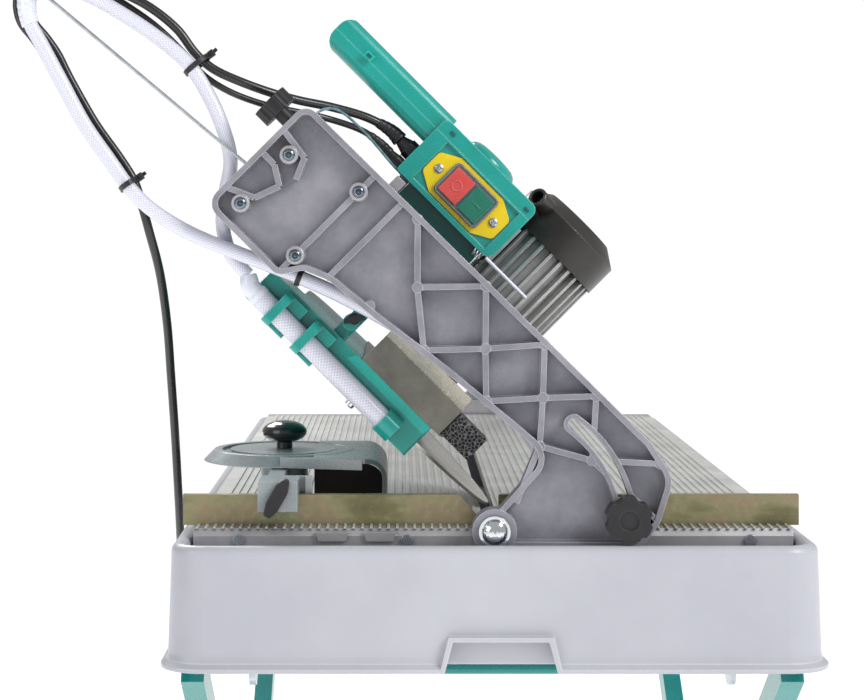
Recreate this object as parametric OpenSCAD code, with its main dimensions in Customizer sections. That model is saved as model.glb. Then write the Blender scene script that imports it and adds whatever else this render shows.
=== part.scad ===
// Overhead bridge tile saw on a folding scissor stand.
// X runs across the table, Y runs back along the cut, Z is up from the floor.
// The bridge stands in its 45 degree mitre position. Its own pieces are written in
// bridge axes: x across the head, y along the cut, z from the tilt axis up the arm.

/* [Tank] */
// Width of the water tank
tank_w = 554; // [540:2:600]
// Length of the water tank
tank_l = 1150; // [1100:10:1400]
// Height of the water tank
tank_h = 104; // [100:1:130]
// Thickness of the tank's plastic
tank_wall = 4; // [3:0.5:5]
// Radius of the tank's upright corners
tank_corner = 32; // [28:1:40]
// Width of the rolled rim
rim_w = 14; // [12:0.5:16]
// How far the bottom lip stands out
tank_lip = 6; // [3:0.5:8]
// Width of the hand notch at its top
notch_w = 80; // [60:2:110]
// Height of the hand notch
notch_h = 26; // [20:1:34]

/* [Table] */
// Height of the table's top above the floor
table_z = 735; // [720:1:760]
// Thickness of the table plates
table_t = 12; // [9:0.5:14]
// Pitch of the fine ribs along the table
rib_pitch = 7.5; // [6:0.5:12]
// Width of the blade slot
slot_w = 13; // [11:0.5:18]
// Depth of the end crossbars along Y
crossbar_d = 38; // [34:1:42]
// Height of the fence above the table
fence_h = 25; // [18:1:32]
// Thickness of the fence's steel
fence_t = 2; // [1.5:0.25:3]

/* [Bridge] */
// Thickness of the cast arms
arm_t = 20; // [18:0.5:22]
// Thickness of the ribs
rib_t = 5; // [4:0.5:7]
// Thickness of the web behind the ribs
web_t = 6; // [5:0.5:8]
// Radius of the tilt slot about the tilt axis
slot_r = 113; // [110:0.5:115]
// Radius of the tilt axis bolt
pivot_r = 8; // [6:0.5:10]
// Radius of the clamp stud in the tilt slot
stud_r = 4; // [3:0.25:4.2]
// Wall of the extruded guide beam
beam_wall = 4; // [3:0.25:4.5]
// Radius of the star knobs
knob_r = 20; // [16:0.5:20.5]
// Length of the steel whip that carries the hoses
whip_l = 262; // [240:2:300]

/* [Head] */
// Diameter of the blade
blade_d = 250; // [230:1:252]
// Thickness of the blade's core
blade_t = 2.2; // [1.6:0.1:3]
// Radius of the motor's fins
fin_r = 51.5; // [50:0.5:52]
// Number of motor fins
fin_count = 28; // [20:2:36]
// Radius of the motor's shaft
shaft_r = 8; // [7:0.5:10]
// Radius of the carriage rollers
roller_r = 14; // [12:0.5:15]
// Running clearance of turning pieces
run_gap = 0.05; // [0.02:0.01:0.09]
// Thickness of the housing's plastic
shell_t = 3; // [2:0.5:4]
// Travel of the switch buttons
button_travel = 2; // [1:0.5:3]
// Clearance between pieces that slide past each other
slide_gap = 0.3; // [0.2:0.05:0.6]

/* [Stand] */
// Width of the stand's rectangular tube
tube_w = 20; // [18:1:20]
// Depth of the stand's rectangular tube
tube_d = 30; // [25:1:35]
// Run of a leg along Y from its top pivot to its foot
leg_run = 860; // [800:10:900]

/* [Hidden] */
$fn = 48;

// The overall box is centred on the origin
frame_x = 71;
frame_y = -tank_l / 2;

// Tank heights and its inner walls
rim_drop = 9;
draft = 3;
rim_z = table_z - rim_drop;
tank_z = rim_z - tank_h;
basin_lift = 4;
basin_top = tank_z + basin_lift + tank_wall;
inner_x = tank_w / 2 - draft - rim_w;
inner_y0 = draft + rim_w;
notch_x = 4;
notch_flare = 7.5;
drain_at = [180, tank_l - 70];
drain_r = 14;

// Places along Y, measured from the front of the tank. The rear end mirrors the front.
arm_y = 28;
arm_back = arm_y + arm_t;
lug_y = arm_back + slide_gap;
lug_t = 6;
crossbar_y = lug_y + lug_t;
table_y = crossbar_y + crossbar_d;
crossbar_top = table_z - 1.5;
table_half_w = inner_x - 2;
fence_y = crossbar_y + 22;
bar_screw_x = [-219, -74, 221];
inlet_x = [57, 74];
inlet_y = crossbar_y + 10.7;
inlet_z = table_z + 10;

// Tilt lugs and their bolts
lug_r = 17;
stud_x = slot_r;
stud_z = 0;
stud_angle = 6;
slot_hw = stud_r + 0.6;
slot_from = -40;
slot_to = 8.6;
knob_gap = 2;
boss_r = 19;
pip_r = 4.6;

// Bridge beam, in bridge axes
beam_x = [40, 128];
beam_z = [276, 356];
beam_slot = [66, 102];
rail_gap = 0.2;
port_at = [[102.5, 349], [44.5, 349], [122, 285], [46, 285]];
screw_r = 3;
port_r = 4.5;

// Carriage and head, in bridge axes
head_y = 228;
head_z = 122;
carriage_y = 60;
carriage_l = 340;
truck_x = [72, 96];
roller_z = beam_z[0] + beam_wall + roller_r + slide_gap;
roller_at = [carriage_y + 50, carriage_y + carriage_l - 50];
roller_w = 12;
roller_off = 6.5;
axle_r = 5;
plate_z = [262, 272];
guard_x = [-14, 20];
guard_hose_r = 9.5;
guard_hose_at = [-4, 83.2];
guard_front = 93;
guard_r = blade_d / 2 + 10;
hub_hole_r = 34;
casting_x = [50, 92];
casting_top = 190;
motor_x = [100, 207];
cover_x = [207, 249];

// Switch housing, in bridge axes
housing_x = [160, 211, 224];
housing_y = [118, 222];
housing_z = [162, 278];
grip_x = [195, 229];
grip_z = [278, 405];
grip_y = [124, 156];
plate_at = [187, 217];
switch_hw = [15.5, 24.5];
button_h = 22;
button_face = housing_y[0] - 5;

// Stand
outer_x = 250;
inner_leg_x = outer_x - tube_w - 1;
leg_top_z = tank_z + basin_lift - tube_d / 2 - 3;
leg_end = 6;
top_pin_r = 5;
top_tube_r = 10;
centre_pin_r = 5;
foot_z = tube_d / 2;
leg_y = 80;
leg_rise = leg_top_z - foot_z;
leg_len = sqrt(leg_run * leg_run + leg_rise * leg_rise);
leg_angle = atan2(leg_rise, leg_run);

// Cord routes in millimetres from the tank's front, the tank's middle and the floor
hose_d = 12.5;
mains_d = 8;
pump_d = 6;
tip_at = [-407, 60, 1209];
hose_a_route = [
    [-389, 60, 1202], [-376, 60, 1202], [-349, 60, 1193], [-320, 61, 1177], [-290, 62, 1157],
    [-263, 62, 1134], [-245, 62, 1106], [-233, 63, 1078], [-226.5, 65, 1050], [-231.5, 70, 1022],
    [-234.5, 78, 994], [-229, 84.5, 971], [-217, 84.5, 955], [-213, 84.5, 951]
];
hose_b_route = [
    [-402, 60, 1191], [-402, 60, 1181], [-399, 60, 1168], [-389, 60, 1150], [-372.5, 60, 1119],
    [-352.5, 60, 1082], [-331, 60, 1051], [-314.5, 60, 1028], [-294.5, 60, 1008], [-262, 60, 988],
    [-225, 60, 972.5], [-190, 60, 959], [-163, 60, 948], [-134, 60, 935], [-96, 60, 915],
    [-60, 60, 893], [-26, 61, 868], [5, 62.5, 842], [32, 64, 814], [49, 65, 785], [57, 65, 758],
    [57, 65, 745.3]
];
mains_upper_route = [
    [-80, 140, 1071], [-89, 140, 1080], [-110, 132, 1091], [-140, 114, 1099], [-168, 98, 1104],
    [-192, 86, 1110], [-218, 78, 1119], [-242, 74, 1130], [-258, 72, 1144], [-274, 70, 1165],
    [-298, 66, 1184], [-326, 62, 1198], [-354, 60, 1211], [-374, 60, 1216], [-389, 60, 1216]
];
mains_lower_route = [
    [-402, 71, 1191], [-402, 71, 1182], [-398, 74, 1170], [-388.5, 77.5, 1158], [-379, 80, 1144],
    [-371, 80, 1128], [-363, 80, 1113], [-345, 80, 1082], [-325, 80, 1054], [-312, 80, 1033],
    [-306, 82, 1014], [-300, 87, 990], [-293, 110, 952], [-290, 140, 906], [-289.5, 168, 856],
    [-289, 198, 798], [-289, 230, 732], [-291, 276, 668], [-292, 334, 600], [-292, 392, 516],
    [-292, 440, 414], [-291, 474, 300], [-290, 498, 184], [-288, 514, 92], [-283, 528, 38],
    [-270, 550, 11], [-250, 576, 5], [-240, 622, 5]
];
coil_at = [-180, 622];
coil_r = 44;
coil_turns_w = 24;
coil_turns_h = 20;
plug_r = 18;
pump_upper_route = [
    [-89, 140, 1059], [-99, 140, 1069], [-116, 130, 1080], [-145, 110, 1089], [-175, 98, 1095],
    [-202, 90, 1101], [-229, 82, 1111], [-251, 78, 1125], [-269, 75, 1145], [-293, 71, 1168],
    [-325, 70, 1190], [-354, 70, 1205], [-374, 70, 1209], [-389, 70, 1209]
];
pump_lower_route = [
    [-413, 71, 1191], [-413, 71, 1182], [-409, 70, 1169], [-398, 70, 1155], [-386, 70.5, 1138],
    [-372.5, 71, 1116], [-352.5, 71, 1080], [-331, 71, 1050], [-314.5, 71, 1028], [-294.5, 71, 1008],
    [-262, 71, 988], [-225, 71, 972.5], [-190, 71, 959], [-163, 71, 948], [-134, 71, 935],
    [-96, 71, 915], [-60, 72, 893], [-26, 74, 868], [8, 76, 841], [36, 75, 815], [58, 72, 787],
    [73, 67, 762], [74, 65, 752], [74, 65, 745.6]
];

// ---------- Shared shapes ----------

// Puts the machine's own frame where the part's origin is
module machine() {
    translate([frame_x, frame_y, 0]) children();
}

// Bridge axes, leaning 45 degrees about the tilt axis
module bridge() {
    machine() translate([0, 0, table_z]) rotate([0, -45, 0]) children();
}

// Draws a piece and its mirror image at the rear end of the machine
module at_rear() {
    translate([0, tank_l, 0]) mirror([0, 1, 0]) children();
}

// A cylinder along +Y from its start point
module rod_y(x, y, z, r, l) {
    translate([x, y, z]) rotate([-90, 0, 0]) cylinder(r = r, h = l);
}

// A cylinder along +X from its start point
module rod_x(x, y, z, r, l) {
    translate([x, y, z]) rotate([0, 90, 0]) cylinder(r = r, h = l);
}

// A box given by two opposite corners
module block(a, b) {
    translate(a) cube(b - a);
}

// Unit vector from p to q
function unit(p, q) = (q - p) / norm(q - p);

// Points of one rounded corner between its neighbours a and b
function corner(a, c, b, r) =
    let (u = unit(c, a), w = unit(c, b))
    let (half = acos(max(-1, min(1, u * w))) / 2)
    let (reach = r / tan(half), mid = (u + w) / norm(u + w))
    let (o = c + mid * (r / sin(half)), s = c + u * reach, e = c + w * reach)
    let (a0 = atan2(s[1] - o[1], s[0] - o[0]), a1 = atan2(e[1] - o[1], e[0] - o[0]))
    let (turn = a1 - a0, sweep = turn > 180 ? turn - 360 : turn < -180 ? turn + 360 : turn)
    [for (i = [0 : 6]) o + r * [cos(a0 + sweep * i / 6), sin(a0 + sweep * i / 6)]];

// Outline through corners [x, y, radius], with every corner rounded
function rounded(c) = [
    for (i = [0 : len(c) - 1])
        let (p = c[(i + len(c) - 1) % len(c)], n = c[(i + 1) % len(c)])
        each (c[i][2] > 0
            ? corner([p[0], p[1]], [c[i][0], c[i][1]], [n[0], n[1]], c[i][2])
            : [[c[i][0], c[i][1]]])
];

// The same outline moved inward by d, for corners listed clockwise
function inset(c, d) = [
    for (i = [0 : len(c) - 1])
        let (p = c[(i + len(c) - 1) % len(c)], n = c[(i + 1) % len(c)], q = [c[i][0], c[i][1]])
        let (u = unit([p[0], p[1]], q), w = unit(q, [n[0], n[1]]))
        let (nu = [u[1], -u[0]], nw = [w[1], -w[0]])
        let (m = (nu + nw) / (1 + nu * nw), s = u[0] * w[1] - u[1] * w[0])
        [q[0] + m[0] * d, q[1] + m[1] * d, max(1, c[i][2] + (s > 0 ? d : -d))]
];

// Extrudes an x-z outline along +Y from y, by t
module plate_y(pts, y, t) {
    translate([0, y + t, 0]) rotate([90, 0, 0]) linear_extrude(t) polygon(pts);
}

// Extrudes a y-z outline along +X from x, by t
module plate_x(pts, x, t) {
    translate([x, 0, 0]) rotate([90, 0, 90]) linear_extrude(t) polygon(pts);
}

// Extrudes an x-y outline along +Z from z, by t
module plate_z(pts, z, t) {
    translate([0, 0, z]) linear_extrude(t) polygon(pts);
}

// Corners of a rectangle, clockwise, with one radius
function box_corners(a, b, r) = [
    [a[0], b[1], r], [b[0], b[1], r], [b[0], a[1], r], [a[0], a[1], r]
];

// Sweeps a profile (distance out, height) round a rectangle with rounded corners
module sweep_rectangle(hx, hy) {
    for (i = [0 : 3]) {
        a = i % 2 == 0 ? hx : hy;
        b = i % 2 == 0 ? hy : hx;
        rotate([0, 0, 90 * i]) {
            translate([a, b, 0]) rotate([90, 0, 0]) linear_extrude(2 * b) children();
            translate([a, b, 0]) rotate_extrude(angle = 90) children();
        }
    }
}

// A lobed hand knob along +Y with a recessed middle, its face at y = 0
module star_knob(r, t, bore) {
    lobes = 6;
    dent_r = r * 0.3;
    rotate([-90, 0, 0]) difference() {
        cylinder(r = r, h = t);
        for (i = [0 : lobes - 1])
            rotate([0, 0, 360 / lobes * i]) translate([r * 1.16, 0, -1]) cylinder(r = dent_r, h = t + 2);
        translate([0, 0, -1]) cylinder(r = r * 0.42, h = 3);
        translate([0, 0, t / 2]) cylinder(r = bore, h = t);
    }
}

// A round tube with eight sides swept along its route
module cord_tube(route, d) {
    sides = 8;
    n = len(route);
    rings = [
        for (i = [0 : n - 1])
            let (t = unit(route[max(i - 1, 0)], route[min(i + 1, n - 1)]))
            let (side = cross(t, [0, 1, 0]), s = side / norm(side), up = cross(s, t))
            for (k = [0 : sides - 1])
                route[i] + d / 2 * (s * cos(360 / sides * k) + up * sin(360 / sides * k))
    ];
    walls = [
        for (i = [0 : n - 2])
            for (k = [0 : sides - 1])
                let (m = (k + 1) % sides)
                each [
                    [i * sides + k, i * sides + m, (i + 1) * sides + m],
                    [i * sides + k, (i + 1) * sides + m, (i + 1) * sides + k]
                ]
    ];
    start_cap = [for (k = [0 : sides - 1]) sides - 1 - k];
    end_cap = [for (k = [0 : sides - 1]) (n - 1) * sides + k];
    polyhedron(points = rings, faces = concat(walls, [start_cap], [end_cap]));
}

// ---------- Base ----------

// Trapezoid of the hand notch, grown by g on its sides and top
function notch_outline(g) = [
    [notch_x - notch_w / 2 - notch_flare - g, tank_z - 1],
    [notch_x - notch_w / 2 - g, tank_z + notch_h + g],
    [notch_x + notch_w / 2 + g, tank_z + notch_h + g],
    [notch_x + notch_w / 2 + notch_flare + g, tank_z - 1]
];

// Raised edge round the hand notch
module notch_flange() {
    intersection() {
        plate_y(notch_outline(4), -tank_lip, tank_wall + tank_lip);
        block([-tank_w, -tank_lip, tank_z], [tank_w, tank_wall, rim_z]);
    }
}

module notch_cut() {
    plate_y(notch_outline(0), -tank_lip - 1, tank_wall + tank_lip + 6);
}

module water_tank() {
    r = tank_corner;
    hx = tank_w / 2 - r;
    hy = tank_l / 2 - r;
    roll = rim_w / 2;
    top = rim_z - roll;
    inside = r - draft - rim_w;
    rim = [for (i = [0 : 12]) [r - draft - roll + roll * cos(15 * i), top + roll * sin(15 * i)]];
    profile = concat(
        [[r + tank_lip, tank_z], [r + tank_lip, tank_z + 3], [r + 1, tank_z + 7], [r, tank_z + 12]],
        rim,
        [
            [inside, tank_z + basin_lift], [inside + tank_wall, tank_z + basin_lift],
            [inside + tank_wall, top - 3], [r - draft - tank_wall, top - 3],
            [r - tank_wall, tank_z]
        ]
    );
    color("#C8C9D1") machine() {
        difference() {
            union() {
                translate([0, tank_l / 2, 0]) {
                    sweep_rectangle(hx, hy) polygon(profile);
                    translate([0, 0, tank_z + basin_lift])
                        linear_extrude(tank_wall) union() {
                            square([2 * (hx + inside + 1), 2 * hy], center = true);
                            square([2 * hx, 2 * (hy + inside + 1)], center = true);
                            for (x = [-hx, hx], y = [-hy, hy])
                                translate([x, y]) circle(inside + 1);
                        }
                }
                notch_flange();
                at_rear() notch_flange();
            }
            notch_cut();
            at_rear() notch_cut();
            translate([drain_at[0], drain_at[1], tank_z]) cylinder(r = drain_r, h = 20);
        }
    }
}
module drain_plug() {
    color("#2A2A2C") machine() translate([drain_at[0], drain_at[1], basin_top]) {
        cylinder(r = drain_r + 6, h = 5);
        translate([0, 0, -tank_wall - 3]) cylinder(r = drain_r, h = tank_wall + 4);
        translate([-2, -8, 4]) cube([4, 16, 12]);
    }
}

// Submersible pump on the basin floor, with its outlet pipe up to the crossbar
module pump() {
    px = 57;
    color("#26282B") machine() {
        translate([px, table_y + 60, basin_top]) {
            cylinder(r = 32, h = 8);
            translate([0, 0, 8]) cylinder(r = 27, h = 46);
        }
        rod_y(px, table_y + 10, basin_top + 34, 6, 40);
        translate([px, table_y + 12, basin_top + 28]) cylinder(r = 6, h = 12);
    }
}

// One half of the table, ribbed along the cut
module table_half() {
    x0 = slot_w / 2;
    n = floor((table_half_w - x0 - 6) / rib_pitch);
    rib_h = 1.4;
    rib_w = rib_pitch * 0.45;
    top = [
        for (i = [0 : n - 1])
            let (x = x0 + 4 + i * rib_pitch)
            each [
                [x, table_z - rib_h], [x, table_z],
                [x + rib_w, table_z], [x + rib_w, table_z - rib_h]
            ]
    ];
    edge = [[table_half_w, table_z - rib_h], [table_half_w, table_z - table_t]];
    start = [[x0, table_z - table_t], [x0, table_z - rib_h]];
    plate_y(concat(start, top, edge), table_y, tank_l - 2 * table_y);
    for (x = [70, 190])
        block([x, table_y + 20, table_z - table_t - 10], [x + 5, tank_l - table_y - 20, table_z - table_t]);
}

module table() {
    color("#A9AAA8") machine() {
        table_half();
        mirror([1, 0, 0]) table_half();
    }
}

// Extruded crossbar across the tank, with end feet on the basin floor
module crossbar() {
    drop = 44;
    ledge_t = 5;
    ledge_notch = 7;
    under = table_z - table_t;
    side = [
        [crossbar_y, crossbar_top - 6], [crossbar_y + 4, crossbar_top],
        [table_y, crossbar_top], [table_y, under],
        [table_y + 14, under], [table_y + 14, under - ledge_t],
        [table_y - 6, under - ledge_t], [table_y - 6, crossbar_top - 4],
        [crossbar_y + 4, crossbar_top - 10], [crossbar_y + 4, crossbar_top - drop],
        [crossbar_y, crossbar_top - drop]
    ];
    difference() {
        union() {
            plate_x(side, -table_half_w, 2 * table_half_w);
            for (x = [-table_half_w, table_half_w - 30])
                block([x, crossbar_y, basin_top], [x + 30, crossbar_y + 8, crossbar_top - 20]);
            for (x = [-153, -112])
                plate_y([[x, table_z - 4], [x + 29, table_z - 4], [x + 26, table_z - 12], [x + 3, table_z - 12]],
                    crossbar_y - 3, 3);
        }
        for (x = bar_screw_x)
            rod_y(x, crossbar_y - 1, table_z - 11.5, 2.5, 12);
        block([-ledge_notch, table_y, under - ledge_t - 1], [ledge_notch, table_y + 15, under + 1]);
    }
}

module front_crossbar() {
    color("#B4B5B8") machine() {
        difference() {
            union() {
                crossbar();
                for (x = inlet_x)
                    translate([x, inlet_y, crossbar_top - 3]) cylinder(r = 5, h = inlet_z - crossbar_top + 3);
            }
            for (x = inlet_x)
                translate([x, inlet_y, crossbar_top - 20]) cylinder(r = 3, h = 60);
        }
    }
}

module rear_crossbar() {
    color("#B4B5B8") machine() at_rear() crossbar();
}

// Pan-head screws of one crossbar
module bar_screws() {
    for (x = bar_screw_x) {
        rod_y(x, crossbar_y, table_z - 11.5, 2.5, 4);
        rod_y(x, crossbar_y - 3, table_z - 11.5, 5.2, 3);
    }
}

module crossbar_screws() {
    color("#A8A9AB") machine() {
        bar_screws();
        at_rear() bar_screws();
    }
}

// Steel plate that carries the tilt bolt and the clamp stud
module tilt_lug() {
    sx = stud_x * cos(stud_angle);
    sz = table_z + stud_x * sin(stud_angle);
    outline = rounded([
        [-lug_r, table_z + lug_r, lug_r - 1], [sx - 18, table_z + lug_r, 4],
        [sx - 10, sz + 14, 10], [sx + 12, sz + 14, 10],
        [sx + 18, table_z - 10, 8], [sx + 6, table_z - 40, 6], [-lug_r, table_z - 40, 6]
    ]);
    plate_y(outline, lug_y, lug_t);
}

module tilt_lugs() {
    color("#8E9196") machine() {
        tilt_lug();
        at_rear() tilt_lug();
    }
}

// Dome nut, tilt bolt and clamp stud of one arm
module tilt_bolt_set() {
    rod_y(0, arm_y - 0.5, table_z, pivot_r, arm_t + 0.8);
    rod_y(0, arm_y - 3.5, table_z, 13.5, 3);
    translate([0, arm_y - 3.5, table_z]) rotate([90, 0, 0]) rotate_extrude()
        polygon(concat([[0, 0]], [for (i = [0 : 6]) [11 * cos(15 * i), 6.5 * sin(15 * i)]]));
    rod_y(stud_x * cos(stud_angle), arm_y - 10, table_z + stud_x * sin(stud_angle), stud_r, arm_t + 10.3);
}

module tilt_bolts() {
    color("#C9CCD0") machine() {
        tilt_bolt_set();
        at_rear() tilt_bolt_set();
    }
}

// Angle-section fence in two parts, open where the blade passes at either angle
module fence() {
    wall = fence_t;
    foot = table_y - slide_gap - fence_y;
    z0 = crossbar_top;
    z1 = table_z + fence_h;
    left = [[-269, z1], [-fence_h - 4, z1], [-5, z0], [-269, z0]];
    right = [[5.5, z1], [267, z1], [267, z0], [5.5, z0]];
    color("#A39A62") machine() {
        plate_y(left, fence_y, wall);
        plate_y(right, fence_y, wall);
        block([-258, fence_y, z0], [-8, fence_y + foot, z0 + wall]);
        block([8, fence_y, z0], [258, fence_y + foot, z0 + wall]);
        block([-269, fence_y, z1 - wall], [-fence_h - 6, fence_y + 8, z1]);
        block([8, fence_y, z1 - wall], [267, fence_y + 8, z1]);
    }
}

// Steel brackets under the tank that hold the tops of the stand
module stand_brackets() {
    under = tank_z + basin_lift;
    rail_z = leg_top_z + top_tube_r + slide_gap;
    color("#7D8084") machine() for (x = [-208, 208]) {
        difference() {
            union() {
                block([x - 3, leg_y - 22, leg_top_z], [x + 3, leg_y + 22, under]);
                block([x - 14, leg_y - 22, under - 4], [x + 14, leg_y + 22, under]);
                rod_x(x - 3, leg_y, leg_top_z, 14, 6);
            }
            rod_x(x - 4, leg_y, leg_top_z, top_pin_r, 8);
        }
        block([x - 14, leg_y + leg_run - 40, rail_z], [x + 14, leg_y + leg_len + 15, under]);
    }
}

// ---------- Stand ----------

// Places a leg whose top pivot is at y0 and whose foot is leg_run further along dir
module leg(x, dir) {
    y0 = dir > 0 ? leg_y : leg_y + leg_run;
    mid = leg_len / 2;
    translate([x, y0, leg_top_z]) rotate([dir > 0 ? -leg_angle : leg_angle, 0, 0])
        difference() {
            translate([-tube_w / 2, dir > 0 ? -leg_end : -leg_len, -tube_d / 2])
                cube([tube_w, leg_len + leg_end, tube_d]);
            translate([0, dir * mid, 0]) rod_x(-tube_w, 0, 0, centre_pin_r + run_gap, 2 * tube_w);
        }
}

module outer_legs() {
    color("#12A79F") machine() for (side = [-1, 1]) leg(side * (outer_x + tube_w / 2), 1);
}

module inner_legs() {
    color("#12A79F") machine() for (side = [-1, 1]) leg(side * (inner_leg_x + tube_w / 2), -1);
}

module outer_tubes() {
    w = 2 * outer_x;
    color("#0E9A92") machine() {
        rod_x(-outer_x, leg_y, leg_top_z, top_pin_r - run_gap, w);
        rod_x(-outer_x, leg_y + leg_run, foot_z, foot_z, w);
    }
}

module inner_tubes() {
    w = 2 * inner_leg_x;
    color("#0E9A92") machine() {
        rod_x(-inner_leg_x, leg_y + leg_run, leg_top_z, top_tube_r, w);
        rod_x(-inner_leg_x, leg_y, foot_z, foot_z, w);
    }
}

module centre_bolts() {
    y = leg_y + leg_run / 2;
    z = (leg_top_z + foot_z) / 2;
    head = 5;
    inside = inner_leg_x - slide_gap;
    outside = outer_x + tube_w;
    color("#C9CCD0") machine() for (m = [0, 1]) mirror([m, 0, 0]) {
        rod_x(inside, y, z, centre_pin_r, outside - inside);
        rod_x(outside, y, z, centre_pin_r + 3, head);
        rod_x(inside - head, y, z, centre_pin_r + 3, head);
    }
}

// ---------- Knobs ----------

module tilt_knob() {
    translate([stud_x * cos(stud_angle), arm_y - 2 - 18, table_z + stud_x * sin(stud_angle)])
        star_knob(knob_r, 18, stud_r + run_gap);
}

module front_tilt_knob() {
    color("#1B1B1E") machine() tilt_knob();
}

module rear_tilt_knob() {
    color("#1B1B1E") machine() at_rear() tilt_knob();
}

lock_x = 123;
lock_y = arm_y + 12;
module lock_knob() {
    color("#1B1B1E") bridge() translate([lock_x, lock_y, 370]) {
        cylinder(r = 7, h = 10);
        translate([0, 0, 24]) rotate([-90, 0, 0]) star_knob(17, 14, 3);
    }
}

// ---------- Bridge ----------

arm_corners = [
    [23, 370, 14], [144, 370, 12], [147, -40, 30], [139, -76, 24], [104, -94, 12],
    [78, -98, 8], [-9, -10, 2], [10, 10, 4], [62, 13, 6], [76, 18, 16], [70, 84, 60],
    [63, 151, 80], [56, 198, 80], [51, 250, 22], [42, 271, 10], [23, 284, 12]
];
right_nodes = [[141, 233], [142, 152], [142, 82], [142, 20], [140, -59]];
middle_nodes = [[100, 192.5], [104, 115], [109, 51], [101, -16]];
left_nodes = [[60, 210], [66, 151], [73, 83], [78, 24]];
arm_ribs = concat(
    [for (i = [0 : 3]) [right_nodes[i], middle_nodes[i]]],
    [for (i = [0 : 3]) [middle_nodes[i], right_nodes[i + 1]]],
    [for (i = [0 : 2]) [middle_nodes[i], left_nodes[i + 1]]],
    [for (i = [1 : 3]) [left_nodes[i], middle_nodes[i]]],
    [[[56, 233], middle_nodes[0]], [middle_nodes[3], [104, -92]], [left_nodes[3], [30, 4]]],
    [[[50, 252], [143, 252]], [[26, 285], [142, 285]]],
    [[[46, 366], [56, 344]], [[56, 344], [78, 336]], [[78, 336], [88, 352]]],
    [[[88, 352], [88, 366]], [[114, 366], [110, 338]], [[110, 338], [92, 330]]]
);

// A rib between two points of the arm's face
module rib(p, q, y, h) {
    d = q - p;
    translate([p[0], y, p[1]]) rotate([0, -atan2(d[1], d[0]), 0])
        block([0, 0, -rib_t / 2], [norm(d), h, rib_t / 2]);
}

// Points of an arc about a centre, from one angle to another
function arc(o, r, a0, a1, n) = [
    for (i = [0 : n]) let (a = a0 + (a1 - a0) * i / n) [o[0] + r * cos(a), o[1] + r * sin(a)]
];

// Outline of the curved tilt slot, hw wide each side of its radius, with round ends
function slot_outline(hw) =
    let (low = slot_r * [cos(slot_from), sin(slot_from)], high = slot_r * [cos(slot_to), sin(slot_to)])
    concat(
        arc([0, 0], slot_r + hw, slot_from, slot_to, 20),
        arc(high, hw, slot_to + 18, slot_to + 162, 8),
        arc([0, 0], slot_r - hw, slot_to, slot_from, 20),
        arc(low, hw, slot_from + 198, slot_from + 342, 8)
    );

// Cast arm in bridge axes: web, rim, ribs, bosses, tilt slot and tilt bore
module arm() {
    depth = arm_t - web_t;
    rim_out = rounded(arm_corners);
    rim_in = rounded(inset(arm_corners, rib_t));
    difference() {
        union() {
            difference() {
                plate_y(rim_out, arm_y, arm_t);
                plate_y(rim_in, arm_y - 1, depth + 1);
            }
            for (r = arm_ribs) rib(r[0], r[1], arm_y + 1, depth + 1);
            for (p = concat(right_nodes, middle_nodes, left_nodes)) rod_y(p[0], arm_y + 0.7, p[1], pip_r, depth + 1);
            for (p = port_at) rod_y(p[0], arm_y + 0.5, p[1], 8, arm_t - 0.5);
            rod_y(0, arm_y - 0.2, 0, boss_r, arm_t + 0.2);
            intersection() {
                plate_y(slot_outline(slot_hw + 4), arm_y + 0.5, arm_t - 1.5);
                plate_y(rim_out, arm_y - 1, arm_t + 2);
            }
        }
        rod_y(0, arm_y - 1, 0, pivot_r + run_gap, arm_t + 2);
        plate_y(slot_outline(slot_hw), arm_y - 1, arm_t + 2);
        for (p = port_at) rod_y(p[0], arm_y - 1, p[1], screw_r, arm_t + 2);
    }
}

module front_arm() {
    color("#A4A3AD") bridge() arm();
}

module rear_arm() {
    color("#A4A3AD") bridge() at_rear() arm();
}

// Extruded guide beam with an open channel below for the rollers
module beam() {
    w = beam_wall;
    low = beam_z[0] + w + rail_gap;
    outer = [
        [beam_x[0], beam_z[1], 3], [beam_x[1], beam_z[1], 3], [beam_x[1], low, 0], [beam_x[0], low, 0]
    ];
    l = tank_l - 2 * arm_back;
    color("#B9BBC0") bridge() {
        difference() {
            union() {
                difference() {
                    plate_y(rounded(outer), arm_back, l);
                    block([beam_x[0] + w, arm_back - 1, low - 1], [beam_x[1] - w, arm_back + l + 1, beam_z[1] - w]);
                }
                for (p = port_at) rod_y(p[0], arm_back, p[1], port_r, l);
            }
            for (p = port_at) rod_y(p[0], arm_back - 1, p[1], screw_r, l + 2);
        }
        block([beam_x[0], arm_back, beam_z[0]], [beam_slot[0], arm_back + l, beam_z[0] + w]);
        block([beam_slot[1], arm_back, beam_z[0]], [beam_x[1], arm_back + l, beam_z[0] + w]);
    }
}

// Socket-head screws that hold the arms on the beam
module arm_screw(p) {
    rod_y(p[0], arm_y + 0.5, p[1], screw_r, arm_t + 20);
    difference() {
        rod_y(p[0], arm_y - 4.5, p[1], 6, 5);
        translate([p[0], arm_y - 5, p[1]]) rotate([-90, 0, 0]) cylinder(r = 3, h = 3, $fn = 6);
    }
}

module arm_screws() {
    color("#B9BBC0") bridge() {
        for (p = port_at) arm_screw(p);
        at_rear() for (p = port_at) arm_screw(p);
    }
}

// Spring-steel whip with a clamp block that carries the hoses and leads
module whip_rod() {
    color("#B7B1A2") {
        bridge() translate([72, arm_back + 6, beam_z[1]]) {
            cylinder(r = 5.5, h = 14);
            rotate([0, -5, 0]) cylinder(r = 1.5, h = whip_l);
        }
        machine() block(tip_at - [18, 10, 18], tip_at + [18, 15, 18]);
    }
}

// ---------- Carriage ----------

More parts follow.
